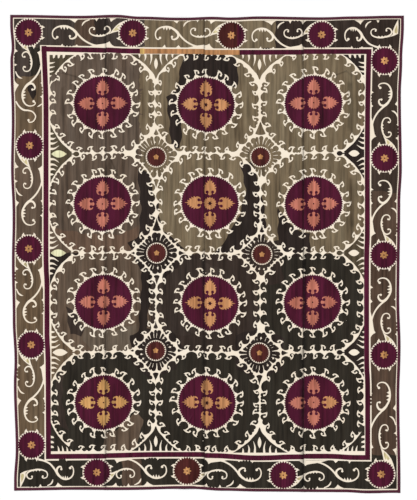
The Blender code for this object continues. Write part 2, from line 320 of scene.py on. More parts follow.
def medallionBody(x, y, reach, pick):
    # worked ground with lobes at its edge, and a bare hook inwards from each gap
    m = medallions
    draw(roundedBody(x, y, m["bodyRadius"], reach, -m["inside"]), "dark")
    places = spaced(m["outerHooks"], m["outerWander"], pick)
    for start, end in zip(places, places[1:]):
        middle = (start + end) / 2
        edge = reachAt(middle, m["bodyRadius"], reach)
        room = edge * (end - start) - m["outerGap"]
        kind = pick.random()
        if kind < m["oneLobe"]:
            draw(lobe(x, y, middle, edge + 0.5, room / 2), "dark")
            continue
        count = 2 if kind < m["twoLobes"] else 3
        arc = [middle + share * room / edge for share in (-0.4, -0.2, 0.0, 0.2, 0.4)]
        arc = [(x + (edge - 2.3) * math.cos(angle), y + (edge - 2.3) * math.sin(angle)) for angle in arc]
        draw(stroke(arc, [m["inside"]] * 5, 2), "dark")
        for number in range(count):
            angle = middle + (number - (count - 1) / 2) * room / count / edge
            edgeHere = reachAt(angle, m["bodyRadius"], reach)
            draw(lobe(x, y, angle, edgeHere + 0.3, room / count / 2 + 0.25, 10), "dark")
    for angle in places[:-1]:
        edge = reachAt(angle, m["bodyRadius"], reach) + 0.2
        lean = math.pi + pick.uniform(-0.22, 0.22)
        flip = 1 if pick.random() < m["sameWay"] else -1
        size = pick.uniform(*m["outerSizes"])
        base = (x + edge * math.cos(angle), y + edge * math.sin(angle))
        hook(*base, angle + lean, size, flip, pick.randrange(2))


def medallionRing(x, y, pick):
    # the bare ring round the disc, bitten by dark lobes, and its hooks outwards
    m = medallions
    ringX, ringY = m["discX"] + m["ring"], m["discY"] + m["ring"]
    draw(roundOf(x, y, ringX, ringY, count=72), "bare")
    places = spaced(m["innerHooks"], m["innerWander"], pick)
    for start, end in zip(places, places[1:]):
        middle = (start + end) / 2
        room = ringX * (end - start) - m["innerGap"]
        if pick.random() < m["roundLobes"]:
            away = room / 2 - 2.4
            centre = (x + (ringX + away) * math.cos(middle), y + (ringY + away) * math.sin(middle))
            draw(roundOf(*centre, room / 2, count=14), "dark")
            continue
        for number in (-1, 0, 1):
            angle = middle + number * room / 3 / ringX
            centre = (x + (ringX - 0.6) * math.cos(angle), y + (ringY - 0.6) * math.sin(angle))
            draw(roundOf(*centre, room / 6 + 0.15, count=10), "dark")
    for angle in places[:-1]:
        flip = -1 if pick.random() < m["sameWay"] else 1
        base = (x + (ringX - 1.2) * math.cos(angle), y + (ringY - 1.2) * math.sin(angle))
        turn = angle + pick.uniform(-0.25, 0.25)
        hook(*base, turn, pick.uniform(*m["innerSizes"]), flip, pick.randrange(2))


flowers = {
    # half of a palmette: place along it, half width
    "half": (
        (7.9, 0.0), (8.5, 1.3), (9.5, 1.9), (10.4, 1.2), (10.3, 2.6), (9.3, 3.3), (9.5, 4.5), (10.6, 5.5),
        (12.4, 6.1), (14.0, 6.0), (14.4, 5.0), (16.4, 6.7), (16.5, 4.6), (18.8, 5.8), (18.6, 3.6),
        (21.0, 4.4), (20.4, 2.2), (23.0, 2.5), (22.0, 0.8), (25.6, 0.0),
    ),
    "eye": (11.4, 2.7, 1.5, 1.6),
    # radius, teeth and their depth
    "heart": (6.0, 16, 0.6),
    "star": (2.0, 6, 0.8),
    "dot": 0.75,
}


def flower(x, y, thread, rightThread, starred):
    # four palmettes about a toothed heart
    f = flowers
    ring = [*f["half"], *((along, -wide) for along, wide in reversed(f["half"][1:-1]))]
    along, aside, long, wide = f["eye"]
    for quarter in range(4):
        angle = quarter * math.pi / 2
        draw(placed(ring, x, y, angle), rightThread if quarter == 0 else thread)
        for side in (-1, 1):
            draw(placed(roundOf(along, aside * side, long, wide, count=10), x, y, angle), "plum")
    radius, teeth, depth = f["heart"]
    draw(toothedRound(x, y, radius, radius, teeth, depth), thread)
    if starred:
        radius, teeth, depth = f["star"]
        draw(toothedRound(x, y, radius, radius, teeth, depth), "wine")
    else:
        draw(roundOf(x, y, f["dot"], count=8), "wine")


# the small rosettes between four medallions
smallRosettes = {
    "radius": 9.5,
    "teeth": 28,
    "ring": 10.5,
    "halo": 12.7,
    "petals": 24,
    "petalShares": (0.75, 1.0, 1.0, 1.3),
    "petalLean": (-0.4, 1.5),
    "petalGap": 1.05,
    "reach": 20.4,
    "clear": 56.1,
    "clearOfBody": 1.2,
    "budFrom": 1.6,
    "budTo": 34.0,
}

smallPlaces = (
    (156.0, 157.5, 51), (260.5, 156.5, 52), (156.5, 253.5, 53),
    (262.0, 254.0, 54), (155.5, 351.0, 55), (259.5, 352.5, 56),
)


def roomTowards(x, y, angle, most):
    # how far a petal may go before it meets the round of a medallion
    found = most
    for mx, my, *_ in medallionPlaces:
        dx, dy = mx - x, my - y
        along = dx * math.cos(angle) + dy * math.sin(angle)
        aside = abs(dx * math.sin(angle) - dy * math.cos(angle))
        if along > 0 and aside < smallRosettes["clear"]:
            found = min(found, along - math.sqrt(smallRosettes["clear"] ** 2 - aside**2))
    return found


def smallRosettePetals(x, y, seed):
    # rounded petals about a worked round, with a bare line on either side of each
    s = smallRosettes
    pick = random.Random(seed)
    draw(roundOf(x, y, s["halo"], s["halo"], count=48), "dark")
    shares = [pick.choice(s["petalShares"]) for _ in range(s["petals"])]
    turn = pick.uniform(0, 0.3)
    for share in shares:
        room = 2 * math.pi * share / sum(shares)
        turn += room / 2
        tip = roomTowards(x, y, turn, s["reach"] + pick.uniform(-0.6, 0.6)) + 0.3
        tip = max(tip, s["halo"] + 1.2)
        wide = max(1.5, room * tip - s["petalGap"])
        lean = pick.uniform(*s["petalLean"])
        middle = (s["halo"] + tip) / 2
        line = ((s["halo"] - 0.8, 0.0), (middle, lean * 0.3), (tip - wide / 2, lean))
        widths = (room * s["halo"] - 0.6, room * middle - 0.8, wide)
        draw(placed(stroke(line, widths, 4), x, y, turn), "dark")
        draw(placed(roundOf(tip - wide / 2, lean, wide / 2, wide / 2, count=12), x, y, turn), "dark")
        if share == max(s["petalShares"]):
            curl = roundOf(s["halo"] + 2.0, -room * middle / 2 + 0.7, 1.0, 1.0, count=8)
            draw(placed(curl, x, y, turn), "bare")
        turn += room / 2


def spineBud(x, y, angle):
    # a bud that fills the gap between two medallions, seen from the rosette
    s = smallRosettes
    way = np.array((math.cos(angle), math.sin(angle)))
    half = []
    first = s["reach"] + s["budFrom"]
    for away in np.arange(first, s["budTo"], 0.8):
        px, py = np.array((x, y)) + way * away
        gap = min(math.hypot(mx - px, my - py) for mx, my, *_ in medallionPlaces)
        gap -= medallions["bodyRadius"] + s["clearOfBody"]
        started = math.sqrt(max(0.0, 1 - (min(1.0, (away - first) / 1.8) - 1) ** 2))
        if gap < 0.35:
            break
        half.append((away, gap * (0.3 + 0.7 * started)))
    if len(half) > 3:
        ring = half + [(half[-1][0] + 2.0, 0.0)] + [(away, -wide) for away, wide in reversed(half)]
        draw(placed(ring, x, y, angle), "dark")


def smallRosetteHeart(x, y):
    s = smallRosettes
    draw(roundOf(x, y, s["ring"], count=44), "bare")
    draw(toothedRound(x, y, s["radius"], s["radius"], s["teeth"], 0.75), "maroon")
    star = [
        (x + r * math.cos(turn * math.pi / 5 - 1.57), y + r * math.sin(turn * math.pi / 5 - 1.57))
        for turn, r in enumerate((3.0, 2.1) * 5)
    ]
    draw(star, "amber")


# a wedge between two medallions at the rim of the field: place along it, half width
wedgeEdge = (
    (-4.0, 0.4), (-1.5, 1.3), (0.0, 1.9), (2.0, 3.2), (5.0, 6.0), (10.0, 10.4), (15.0, 17.0), (19.0, 26.0),
    (21.5, 34.0),
)

# tip x, y, direction to the guard in degrees, depth to the guard, long eye or not
wedgePlaces = (
    (155.8, 75.0, -90, 20.2, False), (259.6, 75.0, -90, 20.4, False),
    (155.6, 430.8, 90, 20.4, False), (259.6, 431.2, 90, 21.0, False),
    (72.0, 154.0, 180, 22.0, True), (71.4, 253.0, 180, 21.6, True), (73.0, 352.4, 180, 22.2, True),
    (343.8, 153.6, 0, 20.2, True), (343.6, 253.2, 0, 20.2, True), (343.8, 352.6, 0, 20.0, True),
)


wedgeForms = {
    "leftEye": (5.4, 20.6, 3.6),
    "eyeShape": (
        (0.0, 0.03), (0.1, 0.36), (0.22, 0.68), (0.36, 0.92), (0.5, 1.0), (0.64, 0.94), (0.78, 0.72),
        (0.9, 0.4), (1.0, 0.03),
    ),
    "side": {
        "eye": (4.6, 15.6, 3.3),
        "slits": (
            ((0, 5.2), (17.8, 5.4), (12.6, 8.6)), ((0, 10.6), (18.4, 10.6), (14.2, 12.6)),
            ((0, 15.4), (18.8, 15.2), (15.8, 16.4)), ((0, 20.4), (19.6, 20.4), (18.0, 20.6)),
        ),
        "slitWidths": (3.0, 1.8, 0.3),
    },
    "end": {
        "eye": (5.2, 16.6, 1.9),
        "slits": (
            ((0, 4.8), (15.4, 4.6), (9.4, 6.2)), ((0, 10.8), (17.0, 10.4), (13.2, 11.6)),
            ((0, 16.6), (18.6, 16.4), (16.4, 16.8)),
        ),
        "slitWidths": (2.6, 1.6, 0.3),
    },
}


def wedge(x, y, degrees, depth, sideways):
    angle = math.radians(degrees)
    edge = [(min(along, depth), wide) for along, wide in wedgeEdge]
    draw(placed(mirrored(edge), x, y, angle), "wedge")
    form = wedgeForms["side" if sideways else "end"]
    start, end, half = wedgeForms["leftEye"] if x < 100 else form["eye"]
    eye = [(start + (end - start) * share, half * wide) for share, wide in wedgeForms["eyeShape"]]
    pale = sideways and x < 100 and y < 300
    draw(placed(mirrored(eye), x, y, angle), "pale" if pale else "bare")
    for root, bend, tip in form["slits"]:
        for side in (-1, 1):
            slit = ((depth + 1, root[1] * side), (bend[0], bend[1] * side), (tip[0], tip[1] * side))
            draw(placed(stroke(slit, form["slitWidths"], 4), x, y, angle), "bare")


wedgeKnobs = {
    "clear": ((0.5, 0.0), (-3.0, 0.0), (-8.0, 0.0)),
    "clearWidths": (3.0, 6.8, 5.4),
    "neck": ((1.6, 0.0), (-0.4, 0.0), (-3.0, 0.0)),
    "neckWidths": (1.8, 1.0, 2.4),
    "head": (-4.3, 0.0, 2.9, 2.4),
}


def wedgeKnob(x, y, degrees):
    # a worked knob where a side wedge meets the bare line between two medallions
    k = wedgeKnobs
    angle = math.radians(degrees)
    draw(placed(stroke(k["clear"], k["clearWidths"], 4), x, y, angle), "bare")
    draw(placed(stroke(k["neck"], k["neckWidths"], 3), x, y, angle), "wedge")
    draw(placed(roundOf(*k["head"], count=14), x, y, angle), "wedge")


# corner of the field, its way inwards, the side of its slits, and the side where its arc stops short
fieldCorners = (
    (49.6, 55.0, 1, 1, "down", "down"), (364.0, 55.0, -1, 1, "down", "across"),
    (50.6, 451.2, 1, -1, "across", "across"), (364.4, 451.2, -1, -1, "across", "down"),
)

cornerFan = {
    "ground": ((0.0, 0.0), (30.0, 0.0), (20.0, 6.0), (13.0, 13.0), (6.0, 20.0), (0.0, 30.0)),
    "slits": (
        ((8.4, -1.0), (8.0, 2.6), (7.0, 5.6)), ((12.6, -1.0), (12.2, 2.4), (11.4, 5.4)),
        ((17.0, -1.0), (16.6, 2.2), (15.8, 4.6)), ((21.4, -1.0), (20.8, 1.4), (20.0, 3.0)),
    ),
    "slitWidths": (2.2, 1.5, 0.3),
    "curls": (4.6, 9.4, 14.4),
    "curl": ((-1.6, -0.6), (1.6, -0.6), (0.4, 2.8), (-1.2, 3.6)),
    "bridge": ((25.4, 1.6), (22.6, 3.4), (19.4, 6.0)),
    "bridgeWidths": (3.6, 5.0, 3.4),
}


def fieldCorner(x, y, way, slitSide):
    draw(np.array(cornerFan["ground"]) * way + (x, y), "wedge")
    for slit in cornerFan["slits"]:
        turned = slit if slitSide == "across" else [(b, a) for a, b in slit]
        draw(stroke(turned, cornerFan["slitWidths"], 4) * way + (x, y), "bare")
    for along in cornerFan["curls"]:
        cusp = np.array(cornerFan["curl"]) + (along, 0)
        cusp = cusp[:, ::-1] if slitSide == "across" else cusp
        draw(cusp * way + (x, y), "bare")


def cornerBridge(x, y, way, openSide):
    # worked ground that runs past the end of the bare arc
    line = [(a, b) if openSide == "across" else (b, a) for a, b in cornerFan["bridge"]]
    draw(stroke(line, cornerFan["bridgeWidths"], 4) * way + (x, y), "dark")


# the stripe round the field, by its middle line
guard = {
    "width": 4.9,
    "line": 1.5,
    "left": (
        (43.9, 46.0), (44.5, 60.0), (45.5, 85.0), (46.0, 110.0), (46.0, 185.0), (46.0, 260.0), (47.0, 285.0),
        (47.0, 335.0), (48.0, 360.0), (48.4, 435.0), (48.4, 459.0),
    ),
    "right": (
        (368.9, 49.4), (368.5, 60.0), (367.5, 110.0), (367.2, 160.0), (367.2, 235.0), (366.5, 260.0),
        (366.5, 360.0), (367.5, 385.0), (367.5, 459.0),
    ),
    "top": (
        (41.5, 49.0), (50.0, 49.2), (90.0, 50.0), (110.0, 50.6), (130.0, 51.5), (180.0, 51.9), (240.0, 52.0),
        (300.0, 51.8), (371.3, 51.8),
    ),
    "bottom": (
        (46.0, 456.5), (110.0, 456.0), (150.0, 455.0), (210.0, 455.0), (230.0, 456.0), (250.0, 457.4),
        (270.0, 457.4), (290.0, 456.5), (330.0, 456.5), (350.0, 457.6), (370.0, 457.8),
    ),
    # the orange stretch of the top: from x, to x, y at each end, and the straw patch where it starts
    "orange": (140.0, 239.6, 51.6, 52.0),
    "straw": (4.2, 48.9, 54.4),
}


def guardStripe():
    for side in ("left", "right", "top", "bottom"):
        line = guard[side]
        draw(stroke(line, [guard["width"]] * len(line), 3), "plum")
    start, end, startY, endY = guard["orange"]
    line = [point for point in guard["top"] if start < point[0] < end]
    line = [(start, startY), *line, (end, endY)]
    draw(stroke(line, [guard["width"]] * len(line), 2), "orange")
    long, high, low = guard["straw"]
    draw([(start, high), (start + long, high), (start + long, low), (start, low)], "straw")


border = {
    "outerLine": 1.0,
    "rosette": 13.3,
    "teeth": 32,
    "ring": 14.4,
    "span": 104.0,
    "vineWidth": 0.88,
    "cusp": ((13.4, 3.0), (14.4, 4.4), (16.5, 5.0), (14.0, 7.0), (12.0, 6.8)),
    "petalPoints": 42,
    # the lengths that turn a corner, and the one with a spare half scroll
    "corners": (3, 11),
    "spare": 15,
    # where the points of the outer edge lie: first, end, step
    "across": (14.5, 401, 6.0),
    "down": (20.0, 489, 6.0),
    # the inner edge: its head and foot, and what part of each guard line it follows
    "head": 49.0,
    "foot": 457.0,
    "topLine": (44, 368),
    "bottomLine": (50, 366),
    # the rosette's middle: reach of its petals, their depth, their number, radius of the dot
    "petals": (3.4, 0.75, 7, 0.75),
    "lastDot": (393.5, 487.0, 1.7),
}

# rosettes clockwise from the top left, with their thread
borderRosettes = (
    (28.5, 32.5, "plum"), (132.5, 33.5, "plum"), (231.5, 35.0, "twoTone"), (321.5, 35.0, "plum"),
    (384.5, 61.0, "plum"), (384.5, 158.5, "plum"), (383.8, 255.3, "plum"), (384.0, 355.1, "plum"),
    (381.0, 474.5, "plum"), (283.3, 474.8, "plum"), (187.0, 471.3, "russet"), (96.8, 472.3, "plum"),
    (31.5, 445.0, "plum"), (31.2, 344.8, "plum"), (28.8, 248.8, "plum"), (29.7, 145.5, "plum"),
)

# one length of vine, from one rosette to the next: place along, place outwards, width
vine = {
    "arch": (
        (28.6, -4.7, 1.5), (26.8, -6.1, 1.4), (24.7, -4.4, 1.4), (23.9, -0.9, 1.5), (25.0, 2.7, 1.7),
        (28.4, 5.5, 1.9), (33.5, 6.9, 1.9), (38.5, 6.6, 2.0), (42.7, 4.6, 2.5), (46.5, 1.9, 2.7),
        (49.5, -1.5, 2.2), (53.5, -5.5, 2.1), (58.5, -9.0, 2.0), (64.5, -11.6, 2.0), (70.0, -13.0, 2.6),
    ),
    "archCurl": (
        (45.0, 2.6, 2.0), (47.6, -0.4, 2.3), (47.4, -3.6, 2.4), (44.4, -5.7, 2.1), (41.6, -5.4, 1.5),
        (41.3, -3.3, 1.3),
    ),
    "scroll": (
        (65.4, 3.7, 1.2), (66.1, 5.0, 1.2), (64.0, 5.8, 1.3), (61.5, 4.6, 1.3), (60.8, 2.0, 1.4),
        (62.0, -0.6, 1.5), (65.5, -2.3, 1.7), (70.5, -2.9, 1.9), (75.5, -2.1, 1.9), (79.6, -0.5, 1.9),
        (81.6, 2.0, 1.8), (80.8, 5.0, 1.6), (78.4, 6.5, 1.4), (76.2, 5.7, 1.3), (76.2, 4.0, 1.2),
    ),
    "dots": ((28.8, -4.4, 1.35), (41.4, -3.2, 1.2), (65.5, 3.9, 1.0), (76.3, 4.1, 1.0)),
    "comma": ((53.3, 6.6, 0.3), (54.2, 9.2, 1.8), (56.6, 11.6, 1.7), (61.0, 13.4, 1.2)),
    "archCusps": ((32.6, 6.6, 3.4), (35.6, 6.6, 2.8), (38.8, 6.2, 3.2)),
    "scrollCusps": ((68.5, -2.4, -0.9), (71.8, -2.6, -0.8), (74.8, -2.2, -0.7)),
    "leaf": (
        (80.0, -1.6), (82.0, 0.6), (84.5, 4.0), (87.0, 7.0), (90.5, 9.9), (94.5, 11.9), (99.0, 13.4),
        (97.0, 9.5), (94.0, 6.0), (92.5, 2.2), (89.0, 1.4), (84.5, 0.2),
    ),
    "cornerLeaf": (
        (75.0, -3.2), (80.5, -1.2), (82.6, 0.6), (82.4, 3.5), (84.6, 9.0), (88.2, 16.0), (88.4, 8.0),
        (88.0, 1.0), (83.6, -1.2),
    ),
    "cornerLeafCore": ((84.6, 2.0), (84.4, 4.4), (86.8, 10.0), (87.4, 4.0), (86.6, 1.2)),
    "leafCore": ((84.4, 2.2), (87.0, 5.2), (90.0, 7.9), (91.6, 6.6), (90.8, 3.6), (87.2, 2.4)),
    "outerCusp": ((37.5, 14.6), (43.0, 12.4), (46.5, 10.1), (47.6, 11.8), (49.4, 13.4), (52.0, 14.6)),
    "outerNotch": ((66.2, 14.4), (68.0, 11.6), (69.4, 14.4)),
    "outerLeafNotch": ((80.6, 14.6), (82.2, 10.8), (84.6, 13.0), (88.0, 14.6)),
    "innerFoot": (
        (56.0, -14.2), (62.5, -12.6), (68.5, -11.4), (74.5, -10.6), (78.5, -9.9), (81.0, -8.4), (82.0, -10.4),
        (83.6, -12.2), (87.0, -14.2),
    ),
    "innerNotches": (
        ((31.0, -14.2), (34.0, -10.8), (35.2, -14.2)), ((45.0, -14.2), (48.4, -11.4), (51.0, -14.2)),
    ),
    # place along, radius
    "innerScallops": ((37.0, 1.25), (40.2, 1.3), (43.2, 1.2)),
    "outerScallops": ((71.0, 1.4), (74.6, 1.5), (78.2, 1.4)),
    "innerEdge": -12.4,
    "outerEdge": 13.4,
    # half the width of a cusp's foot, and how far its point leans
    "cuspFoot": 1.7,
    "cuspLean": 0.2,
}

# the spare half scroll on the uppermost length of the left side, and how the vine beside it is fitted
halfScroll = {
    "room": 19.0,
    "ease": 1.04,
    "shift": 17.0,
    "line": (
        (44.5, 13.4, 1.6), (39.5, 10.4, 1.8), (35.8, 6.0, 2.2), (35.0, 0.6, 1.8), (33.4, -3.6, 1.6),
        (29.0, -6.2, 1.6), (24.4, -4.0, 1.5), (23.2, -0.2, 1.4), (25.0, 1.2, 1.3),
    ),
    "dot": (25.4, 0.9, 1.2),
    "comma": ((38.5, -7.6, 0.3), (39.6, -10.0, 1.6), (41.6, -12.8, 1.4)),
}


def bandFrame(start, end):
    # place along and outwards from one rosette to the next, as a place on the chart
    start, end = np.array(start[:2]), np.array(end[:2])
    length = np.hypot(*(end - start))
    way = (end - start) / length
    out = np.array((way[1], -way[0]))

    def place(points, slide=0.0, stretch=None):
        points = np.asarray(points, float)
        scale = length / border["span"] if stretch is None else stretch
        return start + (points[:, :1] * scale + slide) * way + points[:, 1:2] * out

    return place, length


def vineStroke(place, line, slide, stretch):
    line = np.asarray(line, float)
    draw(stroke(place(line, slide, stretch), line[:, 2] * border["vineWidth"]), "bare")


def vineLength(start, end, spare):
    place, length = bandFrame(start, end)
    slide, stretch = 0.0, length / border["span"]
    if spare:
        stretch = (length - halfScroll["room"]) / border["span"] * halfScroll["ease"]
        slide = halfScroll["shift"]
        vineStroke(place, halfScroll["line"], 0.0, 1.0)
        x, y, radius = halfScroll["dot"]
        draw(roundOf(*place([(x, y)], 0.0, 1.0)[0], radius, count=10), "bare")
        vineStroke(place, halfScroll["comma"], 0.0, 1.0)
    draw(place(vine["leaf"], slide, stretch), "bare")
    draw(place(vine["leafCore"], slide, stretch), "flax")
    vineParts(place, slide, stretch, ("outerCusp", "outerNotch", "outerLeafNotch", "innerFoot"))


def vineParts(place, slide, stretch, shapes):
    for name in shapes:
        draw(place(vine[name], slide, stretch), "bare")
    for ring in vine["innerNotches"]:
        draw(place(ring, slide, stretch), "bare")
    for side in ("inner", "outer"):
        for along, radius in vine[side + "Scallops"]:
            centre = place([(along, vine[side + "Edge"])], slide, stretch)[0]
            draw(roundOf(*centre, radius, count=10), "dark")
    for name in ("arch", "archCurl", "scroll", "comma"):
        vineStroke(place, vine[name], slide, stretch)
    for along, high, low in vine["archCusps"] + vine["scrollCusps"]:
        foot = vine["cuspFoot"]
        cusp = [(along - foot, high), (along + foot, high), (along + vine["cuspLean"], low)]
        draw(place(cusp, slide, stretch), "bare")
    for along, out, radius in vine["dots"]:
        draw(roundOf(*place([(along, out)], slide, stretch)[0], radius, count=10), "bare")


def borderRosette(x, y, thread, before, after):
    b = border
    draw(roundOf(x, y, b["ring"], count=48), "bare")
    for other, sign in ((after, 1), (before, -1)):
        # two bare points on the side of each length of vine
        angle = math.atan2(other[1] - y, other[0] - x)
        angle = math.pi / 2 * round(angle / (math.pi / 2))
        if sign < 0 and (x, y, thread) in [borderRosettes[corner + 1] for corner in b["corners"]]:
            angle += math.pi / 2
        for side in (-1, 1):
            cusp = [(along, aside * side) for along, aside in b["cusp"]]
            draw(placed(cusp, x, y, angle), "bare")
    worn = toothedRound(x, y, b["rosette"], b["rosette"], b["teeth"], 1.0)
    draw(worn, "plum" if thread == "twoTone" else thread)
    if thread == "twoTone":
        draw([(min(px, x + 6.0), py) for px, py in worn], "russet")
    reach, depth, count, dot = b["petals"]
    petals = []
    for turn in range(b["petalPoints"]):
        angle = turn * 2 * math.pi / b["petalPoints"]
        away = reach + depth * math.cos(count * angle)
        petals.append((x + away * math.cos(angle), y + away * math.sin(angle)))
    draw(petals, "amber")
    draw(roundOf(x, y, dot, count=8), "wine")


def edgeInChart(side, places, inside):
    # a rim of the cloth as points of the chart, at a distance inside it in squares
    inside = inside * chart["square"]
    places = np.asarray(places, float)
    if side in ("top", "bottom"):
        x = (places - chart["middleX"]) * chart["square"]
        y = topEdge(x, inside) if side == "top" else bottomEdge(x, inside)
        return np.column_stack([places, chart["middleY"] - y / chart["square"]])
    y = (chart["middleY"] - places) * chart["square"]
    x = leftEdge(y, inside) if side == "left" else rightEdge(y, inside)
    return np.column_stack([x / chart["square"] + chart["middleX"], places])


def borderBand():
    # the worked band, from a bare line inside the edging to a bare line outside the guard stripe
    inside = cloth["edging"] / chart["square"] + border["outerLine"]
    clear = guard["width"] / 2 + guard["line"]
    top, bottom = (edgeInChart(side, np.arange(*border["across"]), inside) for side in ("top", "bottom"))
    left, right = (edgeInChart(side, np.arange(*border["down"]), inside) for side in ("left", "right"))
    x0, x1 = left[3][0], right[3][0]
    top, bottom = (line[(line[:, 0] > x0 + 1) & (line[:, 0] < x1 - 1)] for line in (top, bottom))
    y0, y1 = top[-1][1], bottom[:, 1].mean()
    left = left[(left[:, 1] > y0 + 2) & (left[:, 1] < y1 - 2)]
    right = right[(right[:, 1] > y0 + 2) & (right[:, 1] < y1 - 2)]
    top = np.vstack([(left[0][0], top[0][1]), top, (right[0][0], y0)])
    bottom = np.vstack([(left[-1][0], bottom[0][1]), bottom, (right[-1][0], bottom[-1][1])])
    draw(np.vstack([top, right, bottom[::-1], left[::-1]]), "dark")
    lines = {
        side: np.array(guard[side]) + offset
        for side, offset in (
            ("left", (-clear, 0)), ("right", (clear, 0)), ("top", (0, -clear)), ("bottom", (0, clear)),
        )
    }
    low, high = border["head"] - clear, border["foot"] + clear
    start, end = border["topLine"]
    inner = [point for point in lines["top"] if start < point[0] < end]
    inner = [(lines["left"][0][0], low), *inner, (lines["right"][0][0], low + 2.6)]
    inner += [tuple(point) for point in lines["right"][1:-1]]
    inner += [(lines["right"][-1][0], high + 0.8)]
    start, end = border["bottomLine"]
    inner += [tuple(point) for point in lines["bottom"][::-1] if start < point[0] < end]
    inner += [(lines["left"][-1][0], high - 0.2)]
    inner += [tuple(point) for point in lines["left"][::-1][1:-1]]
    draw(inner, "bare")


def drawBorder():
    borderBand()
    ends = list(zip(borderRosettes, borderRosettes[1:] + borderRosettes[:1]))
    for number, (start, end) in enumerate(ends):
        if number in border["corners"]:
            cornerVine(start)
        else:
            vineLength(start, end, spare=number == border["spare"])
    for number, ((x, y, thread), after) in enumerate(ends):
        borderRosette(x, y, thread, borderRosettes[number - 1], after)
    # a worked dot in the corner at the lower right
    draw(roundOf(*border["lastDot"], count=12), "dark")


# how a length of vine is drawn together where it turns a corner
turning = {"archEnd": 60, "archShare": 0.7, "archShift": 6.5, "leafShift": -11.5}


def cornerVine(start):
    # both scrolls, drawn closer together, and a leaf that runs into the corner of the cloth
    way = 1 if start[1] < 100 else -1

    def place(points, *_):
        along, out = np.asarray(points, float)[:, :2].T
        arch = along * turning["archShare"] + turning["archShift"]
        along = np.where(along < turning["archEnd"], arch, along + turning["leafShift"])
        return np.column_stack([start[0] + way * along, start[1] - way * out])

    draw(place(vine["cornerLeaf"]), "bare")
    draw(place(vine["cornerLeafCore"]), "flax")
    vineParts(place, 0.0, 1.0, ("outerCusp", "outerNotch"))


# sRGB of each thread, from 0 to 255
threads = {
    "bare": (248, 236, 216),
    "pale": (232, 226, 186),
    "flax": (203, 187, 142),
    "plum": (78, 29, 47),
    "wine": (52, 24, 30),
    "maroon": (82, 42, 40),
    "russet": (76, 38, 36),
    "orange": (184, 131, 88),
    "straw": (200, 162, 98),
    "golden": (194, 136, 93),
    "goldenDull": (203, 152, 96),
    "salmon": (190, 115, 98),
    "amber": (192, 138, 90),
    "taupe": (99, 84, 73),
    "brown": (99, 82, 69),
    "camel": (107, 88, 69),
    "greyBrown": (94, 79, 68),
    "charcoal": (62, 52, 47),
    "green": (84, 73, 58),
    "olive": (119, 103, 82),
    "slate": (70, 60, 55),
    "black": (49, 41, 38),
    "blackGreen": (51, 46, 40),
    "darkBrown": (66, 54, 47),
    "nearBlack": (58, 48, 43),
    "umber": (86, 68, 57),
    "russetBrown": (105, 83, 69),
    "ash": (106, 92, 79),
}

